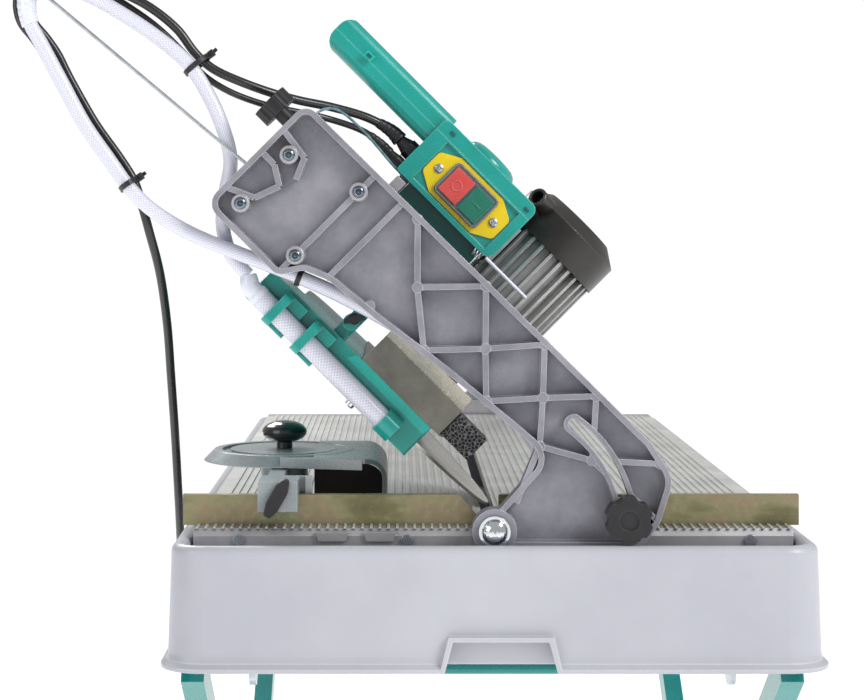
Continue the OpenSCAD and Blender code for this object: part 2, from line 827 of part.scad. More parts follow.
module carriage() {
    y0 = carriage_y;
    y1 = carriage_y + carriage_l;
    color("#0E8F88") bridge() difference() {
        union() {
            block([60, y0, plate_z[0]], [156, y1, plate_z[1]]);
            for (y = roller_at)
                block([truck_x[0], y - 24, plate_z[1]], [truck_x[1], y + 24, roller_z + 12]);
            for (y = roller_at)
                rod_x(truck_x[0] - roller_off + slide_gap, y, roller_z, 9,
                    truck_x[1] - truck_x[0] + 2 * (roller_off - slide_gap));
            block([70, head_y - 34, casting_top], [90, head_y + 60, plate_z[0]]);
            block([150, head_y - 78, plate_z[0]], [housing_x[0], head_y - 8, plate_z[1]]);
        }
        for (y = roller_at) rod_x(truck_x[0] - 20, y, roller_z, axle_r, 64);
    }
}

module roller_axles() {
    end = roller_off + roller_w + slide_gap;
    clip = 1;
    color("#C9CCD0") bridge() for (y = roller_at) {
        rod_x(truck_x[0] - end - clip, y, roller_z, axle_r, truck_x[1] - truck_x[0] + 2 * (end + clip));
        for (x = [truck_x[0] - end - clip, truck_x[1] + end])
            rod_x(x, y, roller_z, axle_r + 1.5, clip);
    }
}

// A pair of rollers, one on each side of the truck
module roller_pair(y) {
    for (x = [truck_x[0] - roller_off - roller_w, truck_x[1] + roller_off])
        translate([x, y, roller_z]) rotate([0, 90, 0]) difference() {
            cylinder(r = roller_r, h = roller_w);
            translate([0, 0, -1]) cylinder(r = axle_r + run_gap, h = roller_w + 2);
            translate([0, 0, -1]) for (a = [0 : 60 : 300])
                rotate([0, 0, a]) translate([9.5, 0, 0]) cylinder(r = 1.6, h = 3);
        }
}

module front_rollers() {
    color("#3A3C40") bridge() roller_pair(roller_at[0]);
}

module rear_rollers() {
    color("#3A3C40") bridge() roller_pair(roller_at[1]);
}

// ---------- Head ----------

// Cast bearing housing that hangs from the carriage and carries the motor
module head_casting() {
    web = rounded([
        [head_y - 30, casting_top, 6], [head_y + 56, casting_top, 6], [head_y + 46, head_z + 8, 20],
        [head_y + 30, head_z - 34, 18], [head_y - 30, head_z - 34, 18], [head_y - 42, head_z + 8, 20]
    ]);
    color("#8F9297") bridge() difference() {
        union() {
            plate_x(web, casting_x[0] + 14, 18);
            rod_x(casting_x[0], head_y, head_z, 26, casting_x[1] - casting_x[0]);
            rod_x(casting_x[1] - 6, head_y, head_z, 48, 6);
        }
        rod_x(casting_x[0] - 1, head_y, head_z, shaft_r + run_gap, 60);
    }
}

// Finned motor shell: a star outline worked out from the number of fins
module motor_body() {
    root_r = 44;
    fin_half = 1.5;
    step = 360 / fin_count;
    lean = asin(fin_half / fin_r);
    base = asin(fin_half * 1.3 / root_r);
    star = [
        for (i = [0 : fin_count - 1])
            let (a = i * step)
            each [
                root_r * [cos(a - base), sin(a - base)], fin_r * [cos(a - lean), sin(a - lean)],
                fin_r * [cos(a + lean), sin(a + lean)], root_r * [cos(a + base), sin(a + base)]
            ]
    ];
    color("#9FA1A3") bridge() difference() {
        union() {
            translate([motor_x[0], head_y, head_z]) rotate([90, 0, 90])
                linear_extrude(motor_x[1] - motor_x[0]) polygon(star);
            block([162, 186, head_z + 35], [202, 234, housing_z[0] + 12]);
        }
        rod_x(motor_x[0] - 1, head_y, head_z, shaft_r + run_gap, 120);
    }
}

module motor_end_bell() {
    color("#85878A") bridge() translate([casting_x[1], head_y, head_z]) rotate([0, 90, 0]) difference() {
        rotate_extrude() polygon([[shaft_r + run_gap, 0], [50, 0], [53, 3], [53, 8], [shaft_r + run_gap, 8]]);
        for (a = [45 : 90 : 315]) rotate([0, 0, a]) translate([47, 0, -1]) cylinder(r = 2, h = 10);
    }
}

// Fan cover: a thin drum with a tapered end and a slotted grille
module fan_cover() {
    l = cover_x[1] - cover_x[0];
    r = fin_r + 2;
    color("#1E1F22") bridge() translate([cover_x[0], head_y, head_z]) rotate([0, 90, 0]) difference() {
        rotate_extrude() polygon([
            [44, 0], [r, 0], [r, l - 12], [36, l], [0, l], [0, l - 2],
            [35, l - 2], [r - 2, l - 13], [r - 2, 4], [44, 4]
        ]);
        for (a = [0 : 30 : 330])
            rotate([0, 0, a]) translate([14, -1.6, l - 3]) cube([18, 3.2, 4]);
    }
}

// Motor shaft with the cooling fan on its far end
module motor_shaft() {
    color("#C9CCD0") bridge() translate([0, head_y, head_z]) rotate([0, 90, 0]) {
        translate([0, 0, -11]) cylinder(r = shaft_r, h = cover_x[1] - 9 + 11);
        translate([0, 0, cover_x[0] + 10]) {
            cylinder(r = 18, h = 14);
            for (a = [0 : 60 : 300]) rotate([0, 0, a]) translate([15, -1, 1]) cube([23, 2, 12]);
        }
    }
}

module blade() {
    color("#D9D6CF") bridge() translate([-blade_t / 2, head_y, head_z]) rotate([0, 90, 0]) difference() {
        union() {
            cylinder(r = blade_d / 2 - 7, h = blade_t, $fn = 96);
            translate([0, 0, -0.3]) difference() {
                cylinder(r = blade_d / 2, h = blade_t + 0.6, $fn = 96);
                translate([0, 0, -1]) cylinder(r = blade_d / 2 - 7, h = blade_t + 3, $fn = 96);
            }
        }
        translate([0, 0, -1]) cylinder(r = shaft_r, h = 6);
    }
}

// Two clamping flanges and the arbor nut
module blade_flanges() {
    color("#9EA2A7") bridge() translate([0, head_y, head_z]) rotate([0, 90, 0]) {
        difference() {
            union() {
                translate([0, 0, blade_t / 2]) cylinder(r = 28, h = 6);
                translate([0, 0, blade_t / 2]) cylinder(r = 16, h = casting_x[0] - 1 - blade_t / 2);
            }
            cylinder(r = shaft_r, h = 60);
        }
        difference() {
            translate([0, 0, -blade_t / 2 - 5]) cylinder(r = 28, h = 5);
            translate([0, 0, -12]) cylinder(r = shaft_r, h = 20);
        }
        difference() {
            translate([0, 0, -11]) cylinder(r = 14, h = 11 - blade_t / 2 - 5, $fn = 6);
            translate([0, 0, -13]) cylinder(r = shaft_r, h = 20);
        }
    }
}

// Side outline of the blade guard, g inside its skin
function guard_outline(g) = rounded([
    [guard_front + g, 292 - g, 6], [guard_front + 74 - g, 292 - g, 6],
    [guard_front + 84, head_z + guard_r - g, 8], [head_y + 90, head_z + guard_r - g, 80],
    [head_y + guard_r - g, head_z + 40, 40], [head_y + guard_r - g, 94 + g, 4],
    [guard_front + g, 94 + g, 4]
]);

module blade_guard() {
    w = 2.5;
    color("#12A79F") bridge() difference() {
        union() {
            plate_x(guard_outline(0), guard_x[0], guard_x[1] - guard_x[0]);
            block([guard_x[1], head_y - 40, 200], [70, head_y - 26, 214]);
            rod_y(35, guard_front + 8, 210, 7, 20);
            block([guard_x[1], guard_front + 16, 204], [40, guard_front + 28, 216]);
        }
        difference() {
            plate_x(guard_outline(w), guard_x[0] + w, guard_x[1] - guard_x[0] - 2 * w);
            block([guard_x[0], guard_front, 262], [guard_x[1], 300, 300]);
        }
        block([guard_x[0] + w, guard_front + w, 90], [guard_x[1] - w, head_y + guard_r - w, 104]);
        rod_x(guard_x[1] - w - 1, head_y, head_z, hub_hole_r, 60);
        rod_y(guard_hose_at[0], guard_front - 1, 120, 5, 10);
        translate([3, guard_front + 22, 250]) cylinder(r = 6, h = 60);
    }
}

// Collars that hold the water hose on the guard's front, and the socket that it ends in
module guard_clips() {
    back = guard_front - 0.1;
    collar = rounded([[-17, 71, 6], [17, 71, 6], [17, back, 0], [-17, back, 0]]);
    color("#12A79F") bridge() {
        for (z = [208.6, 243.6]) difference() {
            union() {
                plate_z(collar, z + 16, 8.5);
                block([-17, back - 9, z], [17, back, z + 17]);
            }
            translate([guard_hose_at[0], guard_hose_at[1], z - 1]) cylinder(r = guard_hose_r + 0.3, h = 30);
        }
        difference() {
            translate([guard_hose_at[0], guard_hose_at[1], 116]) cylinder(r = guard_hose_r + 2.5, h = 16);
            block([-20, back, 110], [20, back + 20, 140]);
            translate([guard_hose_at[0], guard_hose_at[1], 124]) cylinder(r = guard_hose_r + 0.3, h = 20);
        }
    }
}

// Straight length of braided hose held along the guard, with its elbow on top
module guard_hose() {
    at = guard_hose_at;
    color("#DDE3EC") bridge() difference() {
        union() {
            translate([at[0], at[1], 124.3]) cylinder(r = guard_hose_r, h = 172);
            block([-12, 77, 292.5], [12, 92.6, 303]);
        }
        translate([at[0], at[1], 120]) cylinder(r = guard_hose_r - 2.5, h = 170);
    }
}

// Stainless plate on the motor's side of the blade, bent across the guard's front
module splash_plate() {
    outline = rounded([
        [guard_front, 180, 0], [head_y + 120, 180, 4], [head_y + 120, 112, 6],
        [head_y + 60, 82, 30], [guard_front + 20, 80, 12], [guard_front, 86, 0]
    ]);
    side = guard_x[1];
    bend = [
        [side, guard_front], [50, guard_front], [63, guard_front + 11], [61.7, guard_front + 12.2],
        [49.4, guard_front + 1.6], [side, guard_front + 1.6]
    ];
    color("#C9CBC9") bridge() {
        difference() {
            plate_x(outline, side, 2);
            rod_x(side - 1, head_y, head_z, hub_hole_r, 4);
        }
        plate_z(bend, 86, 94);
    }
}

module sponge() {
    color("#3B3D40") bridge() {
        block([22, 97, 52], [47, 137, 84]);
    }
}

// Switch housing, its cover half, and the grip split between them
module housing() {
    s = shell_t;
    front = rounded([
        [housing_x[0], housing_z[1], 3], [housing_x[1], housing_z[1], 0],
        [housing_x[1], housing_z[0], 0], [housing_x[0], housing_z[0], 10]
    ]);
    color("#12A79F") bridge() difference() {
        union() {
            plate_y(front, housing_y[0], housing_y[1] - housing_y[0]);
            grip_half(0);
        }
        block([housing_x[0] + s, housing_y[0] + 3 + s, housing_z[0] + s + 14],
            [housing_x[1] + 1, housing_y[1] - s, housing_z[1] - s]);
        block([165, housing_y[0] - 1, plate_at[1] - 45], [209, housing_y[0] + 3, plate_at[1] + 45]);
        block([plate_at[0] - switch_hw[0], housing_y[0], plate_at[1] - switch_hw[1]],
            [plate_at[0] + switch_hw[0], housing_y[0] + 20, plate_at[1] + switch_hw[1]]);
        block([155, 180, housing_z[0] - 1], [215, housing_y[1] + 1, housing_z[0] + 14]);
    }
}

// Half of the grip bar: side 0 is the switch side, side 1 the cover side
module grip_half(side) {
    bar = rounded(box_corners([grip_x[0], grip_y[0]], [grip_x[1], grip_y[1]], 9));
    tall = rounded([
        [grip_x[0] - 1, grip_z[1], 14], [grip_x[1] + 1, grip_z[1], 14],
        [grip_x[1] + 1, grip_z[0] - 10, 0], [grip_x[0] - 1, grip_z[0] - 10, 0]
    ]);
    intersection() {
        plate_z(bar, grip_z[0] - 8, grip_z[1] - grip_z[0] + 8);
        plate_y(tall, grip_y[0] - 1, 40);
        if (side == 0) block([grip_x[0] - 2, 100, 200], [housing_x[1], 200, 420]);
        else block([housing_x[1], 100, 200], [grip_x[1] + 2, 200, 420]);
    }
}

module housing_cover() {
    s = shell_t;
    front = rounded([
        [housing_x[1], housing_z[1], 0], [housing_x[2], housing_z[1], 6],
        [housing_x[2], housing_z[0], 8], [housing_x[1], housing_z[0], 0]
    ]);
    color("#12A79F") bridge() difference() {
        union() {
            plate_y(front, housing_y[0], housing_y[1] - housing_y[0]);
            grip_half(1);
            rod_x(housing_x[1] + 1, 170, 221, 20, 20);
        }
        block([housing_x[1] - 1, housing_y[0] + 3 + s, housing_z[0] + s + 14],
            [housing_x[2] - s, housing_y[1] - s, housing_z[1] - s]);
        block([155, 180, housing_z[0] - 1], [230, housing_y[1] + 1, housing_z[0] + 14]);
    }
}

module housing_screws() {
    color("#8D8F92") bridge() {
        for (z = [plate_at[1] - 34.25, plate_at[1] + 34.25]) {
            rod_y(plate_at[0], housing_y[0] - 0.5, z, 4, 2);
        }
    }
}

// Elongated hexagon plate round the switch
module switch_plate() {
    x = plate_at[0];
    z = plate_at[1];
    outline = rounded([
        [x - 21, z + 26, 4], [x - 11, z + 44, 5], [x + 11, z + 44, 5], [x + 21, z + 26, 4],
        [x + 21, z - 26, 4], [x + 11, z - 44, 5], [x - 11, z - 44, 5], [x - 21, z - 26, 4]
    ]);
    color("#F2D500") bridge() difference() {
        plate_y(outline, housing_y[0] + 1.5, 1.5);
        block([x - switch_hw[0], housing_y[0], z - switch_hw[1]], [x + switch_hw[0], housing_y[0] + 5, z + switch_hw[1]]);
    }
}

module switch_frame() {
    x = plate_at[0];
    z = plate_at[1];
    w = switch_hw[0];
    h = switch_hw[1];
    color("#5A5D61") bridge() difference() {
        block([x - w, button_face + 2, z - h], [x + w, housing_y[0] + 18, z + h]);
        for (s = [0, 1])
            block([x - w + 2, button_face + 1, z + 1 - s * (button_h + 2)],
                [x + w - 2, housing_y[0] + 12, z + 1 + button_h - s * (button_h + 2)]);
    }
}

// One square button of the switch, low edge at z
module button(z) {
    g = slide_gap;
    x = plate_at[0];
    w = switch_hw[0] - 2 - g;
    block([x - w, button_face, z + g], [x + w, housing_y[0] + 12 - button_travel - 1, z + button_h - g]);
}

module stop_button() {
    color("#D9534F") bridge() button(plate_at[1] + 1);
}

module start_button() {
    color("#0E7C66") bridge() button(plate_at[1] + 1 - button_h - 2);
}

module cable_glands() {
    color("#1B1B1E") bridge() {
        translate([181, 140, housing_z[1]]) {
            cylinder(r = 9, h = 7, $fn = 6);
            translate([0, 0, 7]) cylinder(r1 = 8, r2 = 5, h = 9);
        }
        translate([166, 140, housing_z[1]]) {
            cylinder(r = 5.5, h = 7);
            translate([0, 0, 7]) cylinder(r1 = 5, r2 = 4, h = 7);
        }
    }
}

// ---------- Protractor stop ----------

saddle_x = [-202, -168];
disc_at = [-188, 210];
disc_r = 75;
disc_z = table_z + 40.7;
disc_t = 10;
stop_x = -92;
swivel_r = 5;
module protractor_saddle() {
    x0 = saddle_x[0];
    x1 = saddle_x[1];
    y0 = fence_y - 30;
    back = fence_y + 16;
    z0 = table_z + fence_h + slide_gap;
    top = disc_z - slide_gap;
    color("#8A9092") machine() difference() {
        union() {
            block([x0, y0, table_z + 14], [x1, fence_y - slide_gap, z0 + 12]);
            block([x0, y0, z0], [x1, back, top - 0.7]);
            block([disc_at[0] - 8, back - 1, z0], [disc_at[0] + 6, disc_at[1] + 10, top - 0.7]);
            block([x0, fence_y + 8 + slide_gap, table_z + 5], [x1, back, top - 0.7]);
            block([x1 - 1, back - 3, table_z + 5], [x1 + 11, back, top - 0.7]);
            block([x1 + 5, back - 8, table_z + 5], [x1 + 11, back - 1, top - 0.7]);
            translate([disc_at[0], disc_at[1], z0]) cylinder(r = 22, h = top - z0);
            translate([disc_at[0], disc_at[1], z0]) cylinder(r = swivel_r, h = disc_z + disc_t + 18 - z0);
        }
        rod_y((x0 + x1) / 2, y0 - 1, table_z + 27, 3, 20);
    }
}

// Disc with a bevelled rim, and its stop: a thin shell that turns down to the table
module protractor() {
    a = disc_at;
    top = disc_z + disc_t - 0.3;
    low = table_z + fence_t + 0.5;
    bend_r = 20;
    wall = 4;
    bend = [stop_x - bend_r, top - bend_r];
    shell = concat(
        [[a[0] + 30, top - wall], [a[0] + 30, top]], arc(bend, bend_r, 90, 0, 8), [[stop_x, low], [stop_x - wall, low]],
        arc(bend, bend_r - wall, 0, 90, 8)
    );
    plan = [
        [a[0] + 29, a[1] - 80], [a[0] + 76, a[1] - 90], [a[0] + 98, a[1] - 62], [a[0] + 98, a[1] + 66],
        [a[0] + 29, a[1] + 66]
    ];
    lip = [[a[0], a[1] - disc_r + 1], [a[0] + 74, a[1] - 91], [a[0] + 74, a[1] - 83], [a[0], a[1] - disc_r + 9]];
    color("#6E8F92") machine() difference() {
        union() {
            translate([a[0], a[1], disc_z]) difference() {
                cylinder(r1 = disc_r, r2 = disc_r - 10, h = disc_t, $fn = 96);
                translate([0, 0, disc_t - 2.5]) difference() {
                    cylinder(r = disc_r - 17, h = 5, $fn = 96);
                    translate([0, 0, -1]) cylinder(r = disc_r - 25, h = 7, $fn = 96);
                }
            }
            intersection() {
                plate_y(shell, a[1] - 95, 170);
                plate_z(plan, low - 1, 60);
            }
            plate_z(lip, disc_z + 0.1, disc_t - 0.6);
        }
        translate([a[0], a[1], disc_z - 1]) cylinder(r = swivel_r + run_gap, h = 30);
    }
}

// Mushroom knob that turns on the stud over the disc
module protractor_knob() {
    grip = [for (t = [-90 : 15 : 90]) [0.5 + 20.5 * cos(t), 15.3 + 10.4 * sin(t)]];
    color("#1B1B1E") machine() translate([disc_at[0], disc_at[1], disc_z + disc_t + slide_gap]) difference() {
        union() {
            cylinder(r = 7.5, h = 8);
            rotate_extrude() polygon(concat([[0, 4.9]], grip, [[0, 25.7]]));
        }
        translate([0, 0, -1]) cylinder(r = swivel_r + run_gap, h = 19);
    }
}

module clamp_lever() {
    x = (saddle_x[0] + saddle_x[1]) / 2;
    y = fence_y - 30;
    z = table_z + 27;
    color("#1B1B1E") machine() {
        rod_y(x, y - 4, z, 3 - run_gap, 20);
        translate([x, y - 12, z]) rotate([0, -60, 0])
            plate_y(rounded([[-18, 3, 2], [-8, 6, 4], [10, 6, 4], [18, 2, 2], [18, -2, 2], [8, -6, 4],
                [-10, -6, 4], [-18, -3, 2]]), 0, 8);
        rod_y(x, y - 4.3, z, 6, 4);
    }
}

// ---------- Cords ----------

module hose_a() {
    color("#DDE3EC") machine() cord_tube(hose_a_route, hose_d);
}

module hose_b() {
    color("#DDE3EC") machine() cord_tube(hose_b_route, hose_d);
}

module mains_upper() {
    color("#1B1B1E") machine() cord_tube(mains_upper_route, mains_d);
}

module mains_lower() {
    color("#1B1B1E") machine() cord_tube(mains_lower_route, mains_d);
}

module mains_coil() {
    color("#1B1B1E") machine() translate([coil_at[0], coil_at[1], 0]) rotate_extrude()
        translate([coil_r - coil_turns_w / 2, 0]) square([coil_turns_w, coil_turns_h]);
}

module mains_plug() {
    relief = 26;
    body = 30;
    color("#1B1B1E") machine() translate([coil_at[0] + coil_r + coil_turns_w / 2, coil_at[1], plug_r])
        rotate([0, 90, 0]) {
            cylinder(r1 = mains_d / 2 + 1, r2 = 8, h = relief);
            translate([0, 0, relief]) cylinder(r = plug_r, h = body);
            for (y = [-9.5, 9.5]) translate([0, y, relief + body]) cylinder(r = 2.4, h = 19);
        }
}

module pump_lead_upper() {
    color("#1B1B1E") machine() cord_tube(pump_upper_route, pump_d);
}

module pump_lead_lower() {
    color("#1B1B1E") machine() cord_tube(pump_lower_route, pump_d);
}

water_tank();
drain_plug();
pump();
table();
front_crossbar();
rear_crossbar();
crossbar_screws();
tilt_lugs();
tilt_bolts();
fence();
stand_brackets();
outer_legs();
outer_tubes();
inner_legs();
inner_tubes();
centre_bolts();
front_tilt_knob();
rear_tilt_knob();
lock_knob();
front_arm();
rear_arm();
beam();
arm_screws();
whip_rod();
carriage();
roller_axles();
front_rollers();
rear_rollers();
head_casting();
motor_body();
motor_end_bell();
fan_cover();
motor_shaft();
blade();
blade_flanges();
blade_guard();
guard_clips();
guard_hose();
splash_plate();
sponge();
housing();
housing_cover();
housing_screws();
switch_plate();
switch_frame();
stop_button();
start_button();
cable_glands();
protractor_saddle();
protractor();
protractor_knob();
clamp_lever();
hose_a();
hose_b();
mains_upper();
mains_lower();
mains_coil();
mains_plug();
pump_lead_upper();
pump_lead_lower();
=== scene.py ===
"""Looks of an overhead bridge tile saw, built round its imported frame.

Lengths are in metres. The machine's own axes start on the tilt axis at the tank's front, with Z
counted from the table's top. Bridge axes lean 45 degrees with the bridge: v across the head, y
along the cut, u from the tilt axis up the arm.
"""
import math

import bpy
import numpy as np
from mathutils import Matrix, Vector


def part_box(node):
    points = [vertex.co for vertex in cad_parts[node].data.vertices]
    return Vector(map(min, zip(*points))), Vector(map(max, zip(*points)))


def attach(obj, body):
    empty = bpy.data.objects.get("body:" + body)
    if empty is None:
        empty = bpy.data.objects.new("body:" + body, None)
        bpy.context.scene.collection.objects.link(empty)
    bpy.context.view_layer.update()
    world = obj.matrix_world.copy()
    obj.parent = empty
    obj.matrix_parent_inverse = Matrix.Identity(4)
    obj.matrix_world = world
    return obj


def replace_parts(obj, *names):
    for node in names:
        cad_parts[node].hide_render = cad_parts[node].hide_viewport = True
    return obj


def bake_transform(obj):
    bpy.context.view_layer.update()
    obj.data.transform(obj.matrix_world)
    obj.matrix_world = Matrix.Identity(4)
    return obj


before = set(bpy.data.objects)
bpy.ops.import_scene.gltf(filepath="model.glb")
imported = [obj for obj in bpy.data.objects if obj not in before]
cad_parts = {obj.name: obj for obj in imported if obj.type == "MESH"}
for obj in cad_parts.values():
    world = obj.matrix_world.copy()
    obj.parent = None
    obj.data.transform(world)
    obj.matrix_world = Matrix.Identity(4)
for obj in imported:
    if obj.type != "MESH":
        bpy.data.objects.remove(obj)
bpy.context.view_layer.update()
MM = 0.001

# ---------- Places, read from the frame ----------

TANK_LOW, TANK_HIGH = (np.array(p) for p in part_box("water_tank"))
TANK_LIP = 6 * MM
TABLE_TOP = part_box("table")[1][2]
ORIGIN = np.array([(TANK_LOW[0] + TANK_HIGH[0]) / 2, TANK_LOW[1] + TANK_LIP, TABLE_TOP])
LEAN = math.radians(45)


def machine(points):
    """Machine axes in millimetres to the frame: the origin plus the point."""
    return ORIGIN + np.asarray(points, float) * MM


def bridge(points):
    """Bridge axes in millimetres to the frame: x = (v - u) / root 2 and z = (v + u) / root 2."""
    p = np.asarray(points, float)
    v, y, u = p[..., 0], p[..., 1], p[..., 2]
    return machine(np.stack([(v - u) * math.cos(LEAN), y, (v + u) * math.sin(LEAN)], -1))


# ---------- Camera ----------

# The eye stands in front of the tank and looks level, straight along the cut
EYE = machine([-81, -1720, 265.7])
FOCAL, SENSOR = 86, 36
SHIFT_X, SHIFT_Y = 0.0382, -0.1528

scene = bpy.context.scene
scene.view_settings.view_transform = "Standard"
lens = bpy.data.cameras.new("camera")
lens.lens = FOCAL
lens.sensor_width = SENSOR
lens.shift_x, lens.shift_y = SHIFT_X, SHIFT_Y
camera = bpy.data.objects.new("camera", lens)
camera.location = EYE
camera.rotation_euler = (math.radians(90), 0, 0)
scene.collection.objects.link(camera)
scene.camera = camera

# ---------- Small tools ----------


def linear(code):
    """sRGB hex to linear RGBA: c / 12.92 below 0.04045, ((c + 0.055) / 1.055) ^ 2.4 above."""
    c = np.array([int(code[i : i + 2], 16) for i in (1, 3, 5)]) / 255
    c = np.where(c <= 0.04045, c / 12.92, ((c + 0.055) / 1.055) ** 2.4)
    return (*[float(x) for x in c], 1.0)


def add(tree, kind, links=None, **settings):
    """Adds a shader node. links sets its inputs to numbers, colours or other nodes' sockets."""
    made = tree.nodes.new(kind)
    for key, value in settings.items():
        setattr(made, key, value)
    for key, value in (links or {}).items():
        socket = made.inputs[key]
        if isinstance(value, bpy.types.NodeSocket):
            tree.links.new(value, socket)
        else:
            socket.default_value = value
    return made


def new_material(name):
    """An empty material with its Principled shader."""
    made = bpy.data.materials.new(name)
    made.use_nodes = True
    tree = made.node_tree
    tree.nodes.clear()
    shader = add(tree, "ShaderNodeBsdfPrincipled")
    add(tree, "ShaderNodeOutputMaterial", {"Surface": shader.outputs["BSDF"]})
    return made, tree, shader


def unit(vectors):
    """Each vector over its own length."""
    return vectors / np.linalg.norm(vectors, axis=-1, keepdims=True)


def full_turn(count):
    """Equal angles round a full turn."""
    return np.linspace(0, 2 * math.pi, count, endpoint=False)


def arc(path):
    """The length along a path at each of its points."""
    return np.r_[0, np.cumsum(np.linalg.norm(np.diff(path, axis=0), axis=1))]


def reached(path, lengths):
    """The points of a path at the given lengths along it."""
    return np.stack([np.interp(lengths, arc(path), path[:, i]) for i in range(3)], -1)


def evenly(path, step):
    """Points of a path, resampled at equal steps of arc length."""
    whole = arc(path)[-1]
    return reached(path, np.linspace(0, whole, max(2, int(round(whole / step)) + 1)))


def spline(points, step):
    """Catmull-Rom curve through the points: 0.5 (2b + (c - a)t + (2a - 5b + 4c - d)t2 +
    (3b - a - 3c + d)t3), resampled evenly."""
    p = np.asarray(points, float)
    p = np.vstack([2 * p[0] - p[1], p, 2 * p[-1] - p[-2]])
    t = np.linspace(0, 1, 12, endpoint=False)[None, :, None]
    a, b, c, d = (q[:, None, :] for q in (p[:-3], p[1:-2], p[2:-1], p[3:]))
    curve = 0.5 * (
        2 * b + (c - a) * t + (2 * a - 5 * b + 4 * c - d) * t**2 + (3 * b - a - 3 * c + d) * t**3
    )
    return evenly(np.vstack([curve.reshape(-1, 3), p[-2]]), step)


def make(name, verts, faces, material, body, uv=None, sharp=32):
    """A mesh piece that rides on a body if one is given, smooth but for edges past the sharp angle."""
    mesh = bpy.data.meshes.new(name)
    mesh.from_pydata(np.asarray(verts, float).tolist(), [], faces)
    mesh.polygons.foreach_set("use_smooth", np.ones(len(mesh.polygons), bool))
    mesh.set_sharp_from_angle(angle=math.radians(sharp))
    if uv is not None:
        layer = mesh.uv_layers.new(name="along")
        corner = np.empty(len(mesh.loops), int)
        mesh.loops.foreach_get("vertex_index", corner)
        at = np.asarray(uv, float)[corner]
        turn = at[: 4 * sum(len(f) == 4 for f in faces), 0].reshape(-1, 4)
        # The last column of quads ends at a whole turn, not back at zero
        turn[(np.ptp(turn, axis=1) > 0.5)[:, None] & (turn < 0.5)] += 1
        layer.data.foreach_set("uv", at.ravel())
    mesh.update()
    piece = bpy.data.objects.new(name, mesh)
    scene.collection.objects.link(piece)
    piece.data.materials.append(material)
    if body:
        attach(piece, body)
    return piece


def grid_faces(rows, columns, closed=False):
    """Quads of a grid closed across its columns, and across its rows too when closed is set."""
    r, c = np.meshgrid(np.arange(rows if closed else rows - 1), np.arange(columns), indexing="ij")
    after, beside = (r + 1) % rows, (c + 1) % columns
    corners = ((r, c), (r, beside), (after, beside), (after, c))
    return np.stack([i * columns + j for i, j in corners], -1).reshape(-1, 4).tolist()


def capped(rows, columns):
    """Faces of a tube whose two ends are closed."""
    faces = grid_faces(rows, columns)
    faces.append(list(range(columns))[::-1])
    faces.append([(rows - 1) * columns + i for i in range(columns)])
    return faces


def carried(path):
    """Two directions across the path at each point, turned along it without twist."""
    t = unit(np.gradient(path, axis=0))
    start = np.cross(t[0], [0, 1, 0]) if abs(t[0][1]) < 0.9 else np.cross(t[0], [1, 0, 0])
    side = [start / np.linalg.norm(start)]
    for k in range(1, len(t)):
        s = side[-1] - t[k] * (side[-1] @ t[k])
        side.append(s / np.linalg.norm(s))
    side = np.array(side)
    return side, np.cross(t, side)


def tube(name, path, radius, material, body, sides=20):
    """A closed tube: path + radius (side cos a + up sin a). Its uv is (turn, metres along)."""
    path = np.asarray(path, float)
    side, up = carried(path)
    a = full_turn(sides)[None, :, None]
    r = np.broadcast_to(np.asarray(radius, float), len(path))[:, None, None]
    ring = path[:, None] + r * (side[:, None] * np.cos(a) + up[:, None] * np.sin(a))
    turn = np.linspace(0, 1, sides, endpoint=False)
    uv = np.stack(np.broadcast_arrays(turn[None], arc(path)[:, None]), -1).reshape(-1, 2)
    return make(name, ring.reshape(-1, 3), capped(len(path), sides), material, body, uv)


def turned(profile, centre, axis, sides=40):
    """A turned solid: centre + h axis + r (side cos a + up sin a) for each (r, h) of the profile in
    millimetres, closed at both ends. Returns its points and faces."""
    axis = unit(np.asarray(axis, float))
    side = unit(np.cross(axis, [0.0, 0.0, 1.0] if abs(axis[2]) < 0.9 else [1.0, 0.0, 0.0]))
    up = np.cross(axis, side)
    a = full_turn(sides)[None, :, None]
    r, h = (np.asarray(profile, float)[:, i, None, None] * MM for i in (0, 1))
    points = np.asarray(centre) + h * axis + r * (side * np.cos(a) + up * np.sin(a))
    return points.reshape(-1, 3), capped(len(profile), sides)


def plate(outline, depth, across, up, place):
    """A flat plate: the outline in millimetres spanned by across and up, thickened along the third
    direction from place. Returns its points and faces."""
    o = np.asarray(outline, float) * MM
    across, up = (np.asarray(w, float) for w in (across, up))
    face = o[:, :1] * across + o[:, 1:] * up
    points = np.asarray(place) + np.vstack([face, face + np.cross(across, up) * depth * MM])
    n = len(o)
    sides = [[i, (i + 1) % n, n + (i + 1) % n, n + i] for i in range(n)]
    return points, [list(range(n))[::-1], list(range(n, 2 * n))] + sides


def joined(parts):
    """Several (points, faces) as one."""
    points, faces, start = [], [], 0
    for p, f in parts:
        points.append(p)
        faces += [[i + start for i in face] for face in f]
        start += len(p)
    return np.vstack(points), faces


